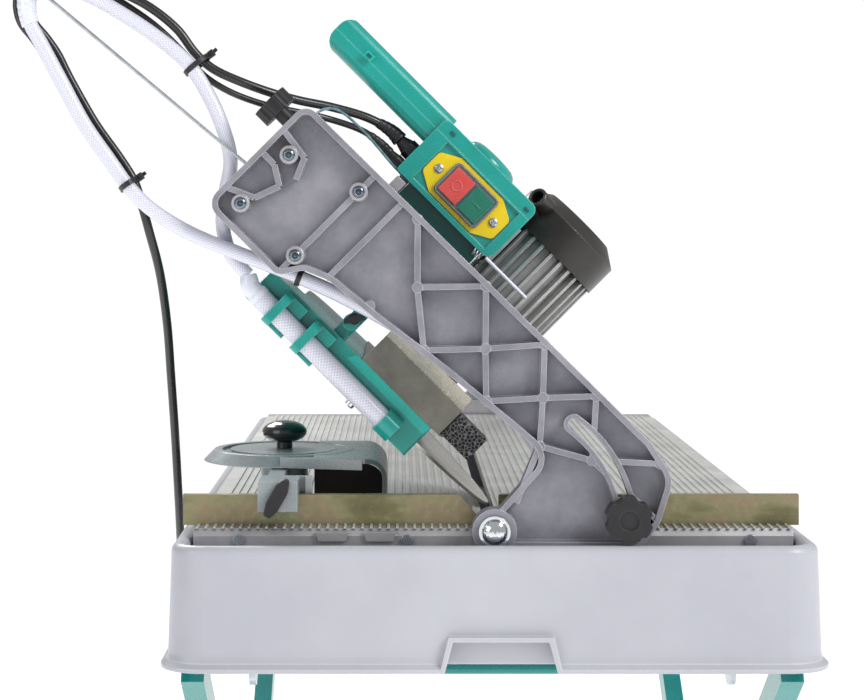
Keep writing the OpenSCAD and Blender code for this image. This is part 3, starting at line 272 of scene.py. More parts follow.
def screw_head(centre, radius, height, recess, facing=-1):
    """A domed head that faces along Y: h = H sqrt(1 - (r / 1.15 R)^2) less a recess, which is a cross
    of two bars or a hexagon. Points and faces, on a polar grid."""
    rings = np.r_[np.linspace(0.06, 0.97, 16), 1.0, 1.0] * radius
    a = full_turn(60)
    x, z = rings[:, None] * np.cos(a), rings[:, None] * np.sin(a)
    if recess == "cross":
        bars = [(abs(p) < 0.16 * radius) & (abs(q) < 0.6 * radius) for p, q in ((x, z), (z, x))]
        sunk = bars[0] | bars[1]
    else:
        flats = [abs(x * math.cos(k) + z * math.sin(k)) for k in np.radians([0, 60, 120])]
        sunk = np.max(flats, 0) < 0.5 * radius
    h = height * np.sqrt(1 - (rings[:, None] / (1.15 * radius)) ** 2) - sunk * 0.55 * height
    h[-1] = 0
    points = np.stack([x, h * facing, z], -1) * MM + np.asarray(centre)
    faces = capped(len(rings), len(a))
    return points.reshape(-1, 3), faces if facing > 0 else [f[::-1] for f in faces]


# ---------- Materials ----------

CORNER_REACH = 7 * MM  # how far into a corner the painted shade reaches
YARNS, YARN_PITCH = 14.0, 3.2 * MM  # yarns each way in a hose, and their pitch along it
FOAM_CELL = 3.2 * MM
FILM_PATCH, HAZE = 45 * MM, 6 * MM  # patches and fine haze of a chromate film


def mixed(tree, factor, first, second):
    """The colour between first and second, each a hex code or a socket."""
    a, b = (linear(c) if isinstance(c, str) else c for c in (first, second))
    mix = add(tree, "ShaderNodeMix", {"Factor": factor, "A": a, "B": b}, data_type="RGBA")
    return mix.outputs["Result"]


def ranged(tree, value, low, high, to_low=0.0, to_high=1.0):
    """A value's stretch from low to high, carried to the one from to_low to to_high."""
    limits = {"From Min": low, "From Max": high, "To Min": to_low, "To Max": to_high}
    return add(tree, "ShaderNodeMapRange", {"Value": value, **limits}).outputs["Result"]


def worked(tree, operation, *values):
    """One step of arithmetic on numbers and sockets."""
    return add(tree, "ShaderNodeMath", dict(enumerate(values)), operation=operation).outputs[0]


def coloured(name, codes, patch, metallic, roughness, grain, relief, edge=None, round_edge=0.8, coat=0.0,
        shade=0.0):
    """A worked surface. codes are its two colours, mixed in patches of a size in metres. grain and
    relief are the size and depth of its fine texture, edge the paler colour painted along its edges
    as a painted highlight and, on the metals, edge wear too, and shade says how far painted shade
    darkens its inner corners."""
    made, tree, shader = new_material(name)
    place = add(tree, "ShaderNodeTexCoord").outputs["Object"]
    rounded = add(tree, "ShaderNodeBevel", {"Radius": round_edge * MM}, samples=4)
    cloud = add(tree, "ShaderNodeTexNoise", {"Vector": place, "Scale": 1 / patch, "Detail": 5,
        "Roughness": 0.62})
    spread = ranged(tree, cloud.outputs["Fac"], 0.35, 0.68)
    colour = mixed(tree, spread, *codes)
    if edge:
        # Where the rounded normal leaves the flat one lies an edge, painted paler: a painted highlight, and
        # on the metals edge wear too
        flat = add(tree, "ShaderNodeNewGeometry").outputs["Normal"]
        dot = add(tree, "ShaderNodeVectorMath", {0: rounded.outputs["Normal"], 1: flat},
            operation="DOT_PRODUCT")
        colour = mixed(tree, ranged(tree, dot.outputs["Value"], 0.995, 0.93, 0.0, 0.8), colour, edge)
    if shade:
        # Painted shade: ambient occlusion darkens the inner corners
        corner = add(tree, "ShaderNodeAmbientOcclusion", {"Distance": CORNER_REACH}, samples=6)
        colour = mixed(tree, ranged(tree, corner.outputs["AO"], 0.25, 0.85, shade, 0.0), colour, "#3C3B42")
    tree.links.new(colour, shader.inputs["Base Color"])
    fine = add(tree, "ShaderNodeTexNoise", {"Vector": place, "Scale": 1 / grain, "Detail": 3})
    gloss = ranged(tree, fine.outputs["Fac"], 0.3, 0.7, roughness * 0.82, min(1, roughness * 1.2))
    tree.links.new(gloss, shader.inputs["Roughness"])
    bump = add(tree, "ShaderNodeBump", {"Strength": 1.0, "Distance": relief, "Height": fine.outputs["Fac"],
        "Normal": rounded.outputs["Normal"]})
    tree.links.new(bump.outputs["Normal"], shader.inputs["Normal"])
    shader.inputs["Metallic"].default_value = metallic
    shader.inputs["Coat Weight"].default_value = coat
    shader.inputs["Coat Roughness"].default_value = 0.12
    return made


# Rotomoulded polyethylene: pale cool grey, soft sheen, faint orange peel
TANK_PE = coloured("rotomoulded_polyethylene", ("#B2B3BC", "#BFC0C8"), 0.22, 0, 0.34, 2.2 * MM, 0.03 * MM,
    "#E2E3E8", 2.0, 0.15)
# Sand-cast aluminium: grainy matt skin with cloudy patches, painted shade in the corners and painted
# highlights on the rib edges
CAST = coloured("sand_cast_aluminium", ("#83838B", "#9C9BA4"), 0.035, 0.35, 0.46, 0.8 * MM, 0.25 * MM,
    "#E6E5EB", 0.9, 0.0, 0.3)
# The motor's casting: paler and smoother, but with painted shade going nearly black in its corners
CAST_DARK = coloured("cast_motor_aluminium", ("#A2A2A1", "#C4C4C3"), 0.02, 0.45, 0.36, 0.8 * MM, 0.1 * MM,
    "#F4F4F4", 0.8, 0.0, 0.8)
# Extruded and anodised aluminium: even, satin
ANODISED = coloured("anodised_aluminium", ("#A9A7AA", "#C0BFC2"), 0.05, 0.55, 0.36, 0.7 * MM, 0.03 * MM,
    "#ECECEF", 0.6, 0.0, 0.5)
# Milled table: pale and clean, with thin painted highlights on its edges
TABLE_ALU = coloured("milled_table_aluminium", ("#C2C3BF", "#D9DAD6"), 0.05, 0.3, 0.4, 0.9 * MM, 0.03 * MM,
    "#F1F1EE", 0.35, 0.0, 0.3)
# Zinc plate: bright cool metal in small patches
ZINC = coloured("zinc_plated_steel", ("#A9AEB4", "#C6CBD1"), 0.012, 0.95, 0.28, 0.8 * MM, 0.02 * MM,
    "#F0F2F4", 0.5)
# Black-blue zinc of socket screws
SCREW_BLUE = coloured("blue_zinc_screws", ("#56636E", "#7C8C98"), 0.01, 0.9, 0.22, 0.8 * MM, 0.01 * MM,
    "#DCE6EC", 0.4, 0.0, 0.7)
# Chrome: a clear mirror, with no paler edge painted on
CHROME = coloured("chromed_steel", ("#D4D8DC", "#E4E8EC"), 0.02, 1.0, 0.08, 2 * MM, 0.004 * MM, None, 0.5)
# Moulded blacks: matt grained nylon, and the glossy knob
BLACK = coloured("black_glass_filled_nylon", ("#161618", "#222225"), 0.02, 0, 0.42, 0.7 * MM, 0.07 * MM,
    "#47474C", 1.0)
FAN_BLACK = coloured("brown_black_fan_cover", ("#1B1816", "#2A2624"), 0.03, 0, 0.36, 0.8 * MM, 0.05 * MM,
    "#5B5652", 1.2, 0.15)
GLOSS_BLACK = coloured("glossy_black_phenolic", ("#0E0E10", "#17171A"), 0.02, 0, 0.16, 1 * MM, 0.01 * MM,
    "#3A3A40", 0.8, 0.5)
# Rubber: the dullest black, with no bright edge
RUBBER = coloured("black_rubber", ("#151517", "#1E1E20"), 0.02, 0, 0.6, 0.9 * MM, 0.05 * MM, None, 0.8)
# Teal finishes: powder coat on the stand, moulded ABS on guard and housing
TEAL_PAINT = coloured("teal_powder_coat", ("#007A75", "#008A84"), 0.05, 0, 0.3, 1.3 * MM, 0.05 * MM,
    "#1FA9A1", 1.2, 0.3)
TEAL_ABS = coloured("teal_abs", ("#06958A", "#0EA297"), 0.06, 0, 0.28, 1.1 * MM, 0.02 * MM, "#74DDD2", 1.4,
    0.3, 0.45)
# The same teal ABS made lighter: a painted highlight for faces that catch the light
TEAL_BRIGHT = coloured("bright_teal_abs", ("#0BB3A5", "#16C0B2"), 0.06, 0, 0.26, 1.1 * MM, 0.02 * MM, None,
    0.6, 0.3)
# Yellow ABS: strong and even, with a soft sheen
YELLOW = coloured("yellow_abs", ("#EFD000", "#F6DA12"), 0.02, 0, 0.3, 1 * MM, 0.02 * MM, "#FFF06A", 0.5,
    0.2)
# Grey ABS: mid grey with painted highlights on its edges and painted shade in its corners
GREY_ABS = coloured("grey_abs", ("#5E6266", "#797D81"), 0.02, 0, 0.35, 1 * MM, 0.03 * MM, "#D0D3D6", 0.8,
    0.2, 0.6)
# The buttons: red and green plastic, glossy under a clear skin
RED = coloured("red_polycarbonate", ("#D4433F", "#DE5650"), 0.02, 0, 0.28, 1 * MM, 0.02 * MM, "#F6A29C",
    1.0, 0.4)
GREEN = coloured("green_polycarbonate", ("#0B6E58", "#117A64"), 0.02, 0, 0.28, 1 * MM, 0.02 * MM, "#5AC0A4",
    1.0, 0.4)
# Brushed stainless: dark satin metal in broad cloudy patches
STAINLESS = coloured("brushed_stainless", ("#535A55", "#8F8B80"), 0.09, 0.75, 0.3, 0.9 * MM, 0.03 * MM,
    "#ECEDEA", 0.4)
# Protractor: smooth silver-grey hammered paint
STOP_ZINC = coloured("silver_grey_hammered_paint", ("#8F989B", "#A9B0B3"), 0.05, 0.25, 0.3, 1.6 * MM,
    0.05 * MM, "#D4D9DC", 1.0, 0.1, 0.6)
# Ground blade: bright metal, a little warm
BLADE = coloured("ground_blade_steel", ("#C6C2B9", "#DEDAD1"), 0.04, 0.8, 0.3, 0.8 * MM, 0.02 * MM,
    "#F2F0EC", 0.3)
# Clear fittings: pale blue-white and glossy
CLEAR = coloured("clear_pvc_fitting", ("#DCE0EE", "#ECEFF8"), 0.02, 0, 0.12, 2 * MM, 0.01 * MM, None, 0.6,
    0.6)


def passivated_zinc(name):
    """Yellow chromate over zinc: olive and straw patches that run along the strip, with faint pink
    and green where the film is thinner."""
    made, tree, shader = new_material(name)
    place = add(tree, "ShaderNodeTexCoord").outputs["Object"]
    drawn = add(tree, "ShaderNodeVectorMath", {0: place, 1: (0.35, 1.0, 1.0)},
        operation="MULTIPLY").outputs[0]
    film = add(tree, "ShaderNodeTexNoise", {"Vector": drawn, "Scale": 1 / FILM_PATCH, "Detail": 6,
        "Roughness": 0.6})
    bands = add(tree, "ShaderNodeValToRGB", {"Fac": film.outputs["Fac"]})
    stops = bands.color_ramp.elements
    for at, code in ((0.3, "#66634A"), (0.42, "#7B7655"), (0.5, "#96916F"), (0.56, "#9C8B70"),
            (0.62, "#88906C"), (0.72, "#B5AF8F")):
        stop = stops.new(at)
        stop.color = linear(code)
    stops.remove(stops[0])
    stops.remove(stops[-1])
    tree.links.new(bands.outputs["Color"], shader.inputs["Base Color"])
    haze = add(tree, "ShaderNodeTexNoise", {"Vector": place, "Scale": 1 / HAZE, "Detail": 4})
    gloss = ranged(tree, haze.outputs["Fac"], 0.3, 0.7, 0.22, 0.4)
    tree.links.new(gloss, shader.inputs["Roughness"])
    shader.inputs["Metallic"].default_value = 0.6
    return made


def open_foam(name):
    """Coarse filter foam: grey strands round cells painted near black as the shade inside the open
    foam, from the distance to the cells' edges.
    """
    made, tree, shader = new_material(name)
    place = add(tree, "ShaderNodeTexCoord").outputs["Object"]
    cells = add(tree, "ShaderNodeTexVoronoi", {"Vector": place, "Scale": 1 / FOAM_CELL},
        feature="DISTANCE_TO_EDGE")
    strand = ranged(tree, cells.outputs["Distance"], 0.05, 0.17, 1.0, 0.0)
    # Painted shade: the cells go near black, the strands stay grey
    colour = mixed(tree, strand, "#141416", "#8B8A8D")
    tree.links.new(colour, shader.inputs["Base Color"])
    bump = add(tree, "ShaderNodeBump", {"Distance": 1.6 * MM, "Height": strand, "Strength": 1.0})
    tree.links.new(bump.outputs["Normal"], shader.inputs["Normal"])
    shader.inputs["Roughness"].default_value = 0.75
    return made


def braided_hose(name, stripe=None):
    """Clear PVC over a woven yarn: two sets of helices, one each way, at turn * YARNS + and -
    length / YARN_PITCH. The wall turns grey where it is seen edge on, a painted shade towards the
    hose's outline. A stripe, if given, runs lengthwise."""
    made, tree, shader = new_material(name)
    uv = add(tree, "ShaderNodeUVMap", uv_map="along").outputs["UV"]
    parts = add(tree, "ShaderNodeSeparateXYZ", {"Vector": uv})
    turn = worked(tree, "MULTIPLY", parts.outputs["X"], YARNS)
    along = worked(tree, "MULTIPLY", parts.outputs["Y"], 1 / YARN_PITCH)
    lines = []
    for way in ("ADD", "SUBTRACT"):
        saw = worked(tree, "PINGPONG", worked(tree, way, turn, along), 0.5)
        lines.append(ranged(tree, saw, 0.04, 0.2, 1.0, 0.0))
    yarn = worked(tree, "MAXIMUM", *lines)
    colour = mixed(tree, yarn, "#CFD0E2", "#EDEEF7")
    if stripe:
        off = worked(tree, "ABSOLUTE", worked(tree, "SUBTRACT", parts.outputs["X"], 0.62))
        colour = mixed(tree, worked(tree, "LESS_THAN", off, 0.018), colour, stripe)
    # Painted shade: the wall greys towards the outline, where it is seen edge on
    rim = add(tree, "ShaderNodeLayerWeight", {"Blend": 0.35}).outputs["Facing"]
    colour = mixed(tree, ranged(tree, rim, 0.35, 0.95, 0.0, 0.7), colour, "#85869A")
    tree.links.new(colour, shader.inputs["Base Color"])
    bump = add(tree, "ShaderNodeBump", {"Distance": 0.15 * MM, "Height": yarn, "Strength": 0.5})
    tree.links.new(bump.outputs["Normal"], shader.inputs["Normal"])
    shader.inputs["Roughness"].default_value = 0.2
    shader.inputs["Coat Weight"].default_value = 0.6
    return made


# The earth wire's own insulation
WIRE = coloured("earth_wire_sheath", ("#3F6E78", "#7FA3A8"), 0.006, 0, 0.35, 1 * MM, 0.01 * MM, None, 0.3,
    0.2)
# Teal darkened as painted shade, for inner parts that little light reaches
TEAL_DARK = coloured("shaded_teal_abs", ("#04564F", "#066059"), 0.05, 0, 0.34, 1.1 * MM, 0.02 * MM,
    "#0C8A80", 1.0, 0.2, 0.6)
FENCE = passivated_zinc("yellow_passivated_zinc")
FOAM = open_foam("open_cell_filter_foam")
HOSE = braided_hose("braided_clear_pvc")
STRIPED_HOSE = braided_hose("striped_braided_pvc", "#3D63D6")
# Cable sheath: black PVC with a soft gloss
CABLE = coloured("pvc_cable_sheath", ("#141416", "#1E1E21"), 0.03, 0, 0.3, 1.5 * MM, 0.02 * MM, None, 0.5,
    0.35)

# ---------- Cords ----------

# Routes in metres: x from the tank's middle, y from its front and z from the floor
HOSE_A = [
    (-0.389, 0.06, 1.202), (-0.376, 0.06, 1.202), (-0.349, 0.06, 1.193), (-0.32, 0.061, 1.177),
    (-0.29, 0.062, 1.157), (-0.263, 0.062, 1.134), (-0.245, 0.062, 1.106), (-0.233, 0.063, 1.078),
    (-0.2265, 0.065, 1.05), (-0.2315, 0.07, 1.022), (-0.2345, 0.078, 0.994), (-0.229, 0.0845, 0.971),
    (-0.217, 0.0845, 0.955), (-0.213, 0.0845, 0.951),
]
HOSE_B = [
    (-0.402, 0.06, 1.191), (-0.402, 0.06, 1.181), (-0.399, 0.06, 1.168), (-0.389, 0.06, 1.15),
    (-0.3725, 0.06, 1.119), (-0.3525, 0.06, 1.082), (-0.331, 0.06, 1.051), (-0.3145, 0.06, 1.028),
    (-0.2945, 0.06, 1.008), (-0.262, 0.06, 0.988), (-0.225, 0.06, 0.9725), (-0.19, 0.06, 0.959),
    (-0.163, 0.06, 0.948), (-0.134, 0.06, 0.935), (-0.096, 0.06, 0.915), (-0.06, 0.06, 0.893),
    (-0.026, 0.061, 0.868), (0.005, 0.0625, 0.842), (0.032, 0.064, 0.814), (0.049, 0.065, 0.785),
    (0.057, 0.065, 0.758), (0.057, 0.065, 0.7453),
]
MAINS_UPPER = [
    (-0.08, 0.14, 1.071), (-0.089, 0.14, 1.08), (-0.11, 0.132, 1.091), (-0.14, 0.114, 1.099),
    (-0.168, 0.098, 1.104), (-0.192, 0.086, 1.11), (-0.218, 0.078, 1.119), (-0.242, 0.074, 1.13),
    (-0.258, 0.072, 1.144), (-0.274, 0.07, 1.165), (-0.298, 0.066, 1.184), (-0.326, 0.062, 1.198),
    (-0.354, 0.06, 1.211), (-0.374, 0.06, 1.216), (-0.389, 0.06, 1.216),
]
MAINS_LOWER = [
    (-0.402, 0.071, 1.191), (-0.402, 0.071, 1.182), (-0.398, 0.074, 1.17), (-0.3885, 0.0775, 1.158),
    (-0.379, 0.08, 1.144), (-0.371, 0.08, 1.128), (-0.363, 0.08, 1.113), (-0.345, 0.08, 1.082),
    (-0.325, 0.08, 1.054), (-0.312, 0.08, 1.033), (-0.306, 0.082, 1.014), (-0.3, 0.087, 0.99),
    (-0.293, 0.11, 0.952), (-0.29, 0.14, 0.906), (-0.2895, 0.168, 0.856), (-0.289, 0.198, 0.798),
    (-0.289, 0.23, 0.732), (-0.291, 0.276, 0.668), (-0.292, 0.334, 0.6), (-0.292, 0.392, 0.516),
    (-0.292, 0.44, 0.414), (-0.291, 0.474, 0.3), (-0.29, 0.498, 0.184), (-0.288, 0.514, 0.092),
    (-0.283, 0.528, 0.038), (-0.27, 0.55, 0.011), (-0.25, 0.576, 0.005), (-0.24, 0.622, 0.005),
]
PUMP_UPPER = [
    (-0.089, 0.14, 1.059), (-0.099, 0.14, 1.069), (-0.116, 0.13, 1.08), (-0.145, 0.11, 1.089),
    (-0.175, 0.098, 1.095), (-0.202, 0.09, 1.101), (-0.229, 0.082, 1.111), (-0.251, 0.078, 1.125),
    (-0.269, 0.075, 1.145), (-0.293, 0.071, 1.168), (-0.325, 0.07, 1.19), (-0.354, 0.07, 1.205),
    (-0.374, 0.07, 1.209), (-0.389, 0.07, 1.209),
]
PUMP_LOWER = [
    (-0.413, 0.071, 1.191), (-0.413, 0.071, 1.182), (-0.409, 0.07, 1.169), (-0.398, 0.07, 1.155),
    (-0.386, 0.0705, 1.138), (-0.3725, 0.071, 1.116), (-0.3525, 0.071, 1.08), (-0.331, 0.071, 1.05),
    (-0.3145, 0.071, 1.028), (-0.2945, 0.071, 1.008), (-0.262, 0.071, 0.988), (-0.225, 0.071, 0.9725),
    (-0.19, 0.071, 0.959), (-0.163, 0.071, 0.948), (-0.134, 0.071, 0.935), (-0.096, 0.071, 0.915),
    (-0.06, 0.072, 0.893), (-0.026, 0.074, 0.868), (0.008, 0.076, 0.841), (0.036, 0.075, 0.815),
    (0.058, 0.072, 0.787), (0.073, 0.067, 0.762), (0.074, 0.065, 0.752), (0.074, 0.065, 0.7456),
]
HOSE_D, MAINS_D, PUMP_D, EARTH_D = 0.0125, 0.008, 0.006, 0.0024
STEP = 0.55  # spacing of a cord's rings, over its thickness
FLOOR = np.array([ORIGIN[0], ORIGIN[1], 0])


def coil_of(centre, radii, levels, per_turn=24):
    """Turns of a coil: radius and height step with the angle through the given lists, clockwise."""
    turns = len(radii) - 1
    t = np.linspace(0, turns, turns * per_turn + 1)
    r = np.interp(t, np.arange(turns + 1), radii)
    z = np.interp(t, np.arange(turns + 1), levels)
    a = math.pi - 2 * math.pi * t
    return centre + np.stack([r * np.cos(a), r * np.sin(a), z], -1)


def cord(name, route, diameter, material, bodies, replaced, far_end, start=None, end=None, **facts):
    """One free cord along its route. Its bodies, start and end are not used."""
    path = spline(np.asarray(route) + FLOOR, diameter * STEP)
    piece = tube(name, path, diameter / 2, material, None)
    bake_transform(piece)
    if replaced:
        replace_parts(piece, *replaced)


HANGS = {"stiffness": "medium", "lay": "hanging"}
# The last ties hold the lower cords to the bridge
HOSE_TIED, PUMP_TIED, MAINS_TIED = HOSE_B[13], PUMP_LOWER[14], MAINS_LOWER[9]
cord("hose_upper", HOSE_A, HOSE_D, HOSE, ("bridge", "head"), ["hose_a"], "object", **HANGS)
cord("hose_lower", HOSE_B, HOSE_D, HOSE, ("bridge", "base"), ["hose_b"], "object", start=HOSE_TIED, **HANGS)
cord("mains_upper_lead", MAINS_UPPER, MAINS_D, CABLE, ("head", "bridge"), ["mains_upper"], "object",
    **HANGS)
cord("pump_upper_lead", PUMP_UPPER, PUMP_D, CABLE, ("head", "bridge"), ["pump_lead_upper"], "object",
    **HANGS)
cord("pump_lower_lead", PUMP_LOWER, PUMP_D, CABLE, ("bridge", "base"), ["pump_lead_lower"], "object",
    start=PUMP_TIED, **HANGS)

EARTH_WIRE = [
    (-0.079, 0.125, 1.0405), (-0.087, 0.12, 1.0485), (-0.113, 0.1, 1.078), (-0.134, 0.076, 1.0945),
    (-0.149, 0.06, 1.093), (-0.159, 0.054, 1.082), (-0.163, 0.0525, 1.07),
]
cord("earth_wire", EARTH_WIRE, EARTH_D, WIRE, ("head", "bridge"), [], "object", **HANGS)

COIL = np.array([-0.180, 0.622, 0.005])
TURNS = coil_of(COIL, [0.0492, 0.0406, 0.0406, 0.0492, 0.0492], [0, 0, 0.0085, 0.0085, 0.0085])
cord("mains_lead", list(MAINS_LOWER[:-2]) + TURNS.tolist(), MAINS_D, CABLE, ("bridge", "base"),
    ["mains_lower", "mains_coil"], "plug", start=MAINS_TIED, end=(-0.288, 0.514, 0.092), stiffness="medium",
    lay="coiled", with_pieces=["mains_plug"])

# ---------- Ties, sleeves and collars on the cords ----------

STRAP_HALF, STRAP_T = 2.25, 1.3  # half the width of a tie's strap, and its thickness
TIE_SIDES = 48


def tie(name, centre, way, half, tail, follows=None):
    """A cable tie: a flat strap round an oval of the given half sizes across the cords,
    side A cos a + back B sin a, its square lock, and the cut tail. It rides on the bridge, or on
    no body when it is given a route to follow."""
    way = unit(np.asarray(way, float))
    back = np.array([0.0, 1.0, 0.0])
    side = unit(np.cross(way, back))
    a = full_turn(TIE_SIDES)[:, None]
    out = side * np.cos(a) * half[0] + back * np.sin(a) * half[1]
    normal = unit(side * np.cos(a) * half[1] + back * np.sin(a) * half[0])
    corners = [(0, -STRAP_HALF), (0, STRAP_HALF), (STRAP_T, STRAP_HALF), (STRAP_T, -STRAP_HALF)]
    strap = np.stack([(out + normal * n + way * w) * MM for n, w in corners], 1).reshape(-1, 3) + centre
    lock = plate([(-3, -3), (3, -3), (3.4, 0), (3, 3), (-3, 3), (-3.4, 0)], 5.0, way, np.cross(side, way),
        centre + side * (half[0] + 0.4) * MM)
    stub = plate([(-1.8, 0), (1.8, 0), (1.5, tail), (-1.5, tail)], 1.2, way, unit(side - 0.6 * back),
        centre + side * (half[0] + 4) * MM)
    points, faces = joined([(strap, grid_faces(TIE_SIDES, 4, True)), lock, stub])
    piece = make(name, points, faces, BLACK, None if follows else "bridge")
    if follows:
        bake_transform(piece)


def sleeve(name, route, diameter, length, first, last, bodies, material=BLACK):
    """A tapered strain relief over a cord's first length: r runs from first to last with ribs
    0.25 (1 - cos) / 2 every 5 mm."""
    whole = spline(np.asarray(route) + FLOOR, diameter * STEP)
    at = np.linspace(0, length * MM, 60)
    path = reached(whole, at)
    taper = np.linspace(first, last, len(at))
    ribs = 0.25 * (1 - np.cos(at / (5 * MM) * 2 * math.pi)) / 2
    piece = tube(name, path, (taper + ribs) * MM, material, bodies if isinstance(bodies, str) else None, 28)
    if not isinstance(bodies, str):
        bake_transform(piece)


def ends(route):
    """First and last point of a route, in the frame."""
    return np.asarray(route[0]) + FLOOR, np.asarray(route[-1]) + FLOOR


tie("lower_tie", np.array([-0.3145, 0.0685, 1.0300]) + FLOOR, [0.57, 0, -0.82], (8.6, 17.0), 6.0)
tie("guard_tie", np.array([-0.1670, 0.0650, 0.9497]) + FLOOR, [0.93, 0, -0.38], (6.9, 11.0), 5.0)
tie("upper_tie", np.array([-0.2555, 0.0680, 1.1335]) + FLOOR, [0.62, 0, -0.78], (12.6, 14.0), 6.0,
    ends(HOSE_A))
sleeve("mains_relief", MAINS_UPPER, MAINS_D, 26, 7.2, 4.5, ("head", "bridge"))
sleeve("pump_relief", PUMP_UPPER, PUMP_D, 26, 4.6, 3.4, ("head", "bridge"))
sleeve("hose_b_collar", HOSE_B, HOSE_D, 24, 8.4, 7.4, "bridge", CLEAR)
sleeve("hose_a_collar", HOSE_A, HOSE_D, 24, 8.4, 7.4, ("bridge", "head"), CLEAR)

# ---------- Guard hose: braided tube, clear elbow and its branch into the guard ----------

hose_line = bridge(evenly(np.array([[-4, 83.2, 119.5], [-4, 83.2, 180], [-4, 83.0, 240], [-4, 83.2, 284]],
    float), 1.6))
braid = tube("guard_hose_braid", hose_line, 9.4 * MM, STRIPED_HOSE, "head", 32)
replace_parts(braid, "guard_hose")
elbow_line = bridge(evenly(np.array([[-4, 83.2, 281], [-4, 83.2, 290], [-3, 83.6, 296], [0.5, 84.2, 300.5],
    [2.1, 84.5, 303.0]]), 1.2))
elbow_r = np.interp(np.linspace(0, 1, len(elbow_line)), [0, 0.2, 0.28, 0.8, 1],
    [9.9, 9.9, 8.6, 8.2, 7.2]) * MM
tube("guard_hose_elbow", elbow_line, elbow_r, CLEAR, "head", 32)
tube("guard_hose_branch", bridge([[-3, 83.5, 292], [-3, 87, 292], [-3, 92.9, 292]]), 5.6 * MM, CLEAR,
    "head", 28)

# ---------- Screws ----------

ARM_PORTS = [(102.5, 349), (44.5, 349), (122, 285), (46, 285)]
REAR = 1150
SCREW_SEAT = 28.0  # y of the front arm's screw seats; the rear arm's lie as far before REAR
heads, washers = [], []
for v, u in ARM_PORTS:
    for y, facing in ((SCREW_SEAT, -1), (REAR - SCREW_SEAT, 1)):
        heads.append(screw_head(bridge([v, y, u]), 5.2, 4.6, "hexagon", facing))
        # A pressed ring under each head, bevelled at its rim
        ring = [(0.6, 0.05), (7.2, 0.05), (7.6, 0.6), (7.2, 1.5), (5.6, 1.7), (0.6, 1.7)]
        washers.append(turned(ring, bridge([v, y, u]), [0, facing, 0]))
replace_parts(make("arm_screw_heads", *joined(heads), SCREW_BLUE, "bridge", sharp=40), "arm_screws")
make("arm_screw_rings", *joined(washers), ANODISED, "bridge")
SWITCH_V, SWITCH_U = 187, 217  # the switch's middle
SCREW_OFF, KEY_OFF = 34.25, 12  # from there to its screws and to the middle of each button
plate_heads = [
    screw_head(bridge([SWITCH_V, 119.55, SWITCH_U + off]), 4.2, 2.4, "cross") for off in (-SCREW_OFF,
    SCREW_OFF)
]
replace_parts(make("plate_screw_heads", *joined(plate_heads), ZINC, "head", sharp=40), "housing_screws")

# ---------- Rib ends on the front crossbar ----------

# A comb: ribs 2.6 wide and 1.4 high every 7.5, standing on the bar in front of the fence
PITCH = 7.5
ribs = []
for x in np.arange(-255.0, 256.0, PITCH):
    if abs(x) > 9:
        comb = [(x - 1.3, 0.02), (x + 1.3, 0.02), (x + 0.9, 1.4), (x - 0.9, 1.4)]
        ribs.append(plate(comb, -21.0, [1, 0, 0], [0, 0, 1], machine([0, 55.0, -1.5])))
make("crossbar_rib_ends", *joined(ribs), TABLE_ALU, "base")

# ---------- Small fittings on the guard ----------

# Wing screw: a stem with two flat wings on the guard's arm block
stem = turned([(0.5, -7.2), (5.2, -7.2), (5.2, -2), (3.2, -1.2), (3.2, 6), (0.5, 6)],
    bridge([40, 104, 210]), [0, 1, 0], 28)
wing = [(-9, 2), (-3, 3.4), (3, 3.4), (9, 2), (10, -2.5), (3, -3.2), (-3, -3.2), (-10, -2.5)]
blades = plate(wing, 3.0, unit(np.array([1.0, 0, 0.2])), unit(np.array([-0.2, 0, 1.0])),
    bridge([40, 97.5, 210]))
make("guard_wing_screw", *joined([stem, blades]), BLACK, "head")
bolt = [(0.4, 0), (4.6, 0), (4.6, 3.2), (3.6, 4.4), (0.4, 4.6)]
make("guard_side_bolt", *turned(bolt, bridge([-14.05, 100, 160]),
    unit(bridge([-1, 0, 0]) - bridge([0, 0, 0])), 24), CHROME, "head")

# ---------- Housing and motor fittings ----------

V_WAY, U_WAY = (unit(bridge(w) - bridge([0, 0, 0])) for w in ([1, 0, 0], [0, 0, 1]))

# Swelling over the motor's terminal box: h = H (1 - (r / R)^4)^(1 / 2.2)
SWELL_R, SWELL_H = 27.0, 9.6
swell_r = np.r_[np.linspace(0.4, 26.4, 22), SWELL_R]
swell = [(r, SWELL_H * (1 - (r / SWELL_R) ** 4) ** (1 / 2.2)) for r in swell_r][::-1]
make("housing_swell", *turned(swell, bridge([223.6, 170, 221]), V_WAY, 56), TEAL_ABS, "head")

# Inner base of the switch box, between the housing and the carriage, in dark teal as painted shade
base_line = [(146, 172), (160.4, 172), (160.4, 261), (144, 261), (139, 252), (139, 184)]
make("switch_box_base", *plate(base_line, -76.0, V_WAY, U_WAY, bridge([0, 128, 0])), TEAL_DARK, "head")

# Snap lugs of the cover, in lighter teal as a painted highlight, and a small framed window at each, in dark
# teal as painted shade
lugs, windows = [], []
for v, u in ((217, 366), (220.5, 264), (219, 170)):
    lugs.append(plate([(-4.4, -3.2), (4.4, -3.2), (4.4, 3.2), (-4.4, 3.2)], 1.2, U_WAY, V_WAY,
        bridge([v - 3, 118.2, u])))
    windows.append(plate([(-2.6, -1.5), (2.6, -1.5), (2.6, 1.5), (-2.6, 1.5)], 0.3, U_WAY, V_WAY,
        bridge([v - 3, 116.9, u])))
make("cover_lugs", *joined(lugs), TEAL_BRIGHT, "head")
make("cover_windows", *joined(windows), TEAL_DARK, "head")


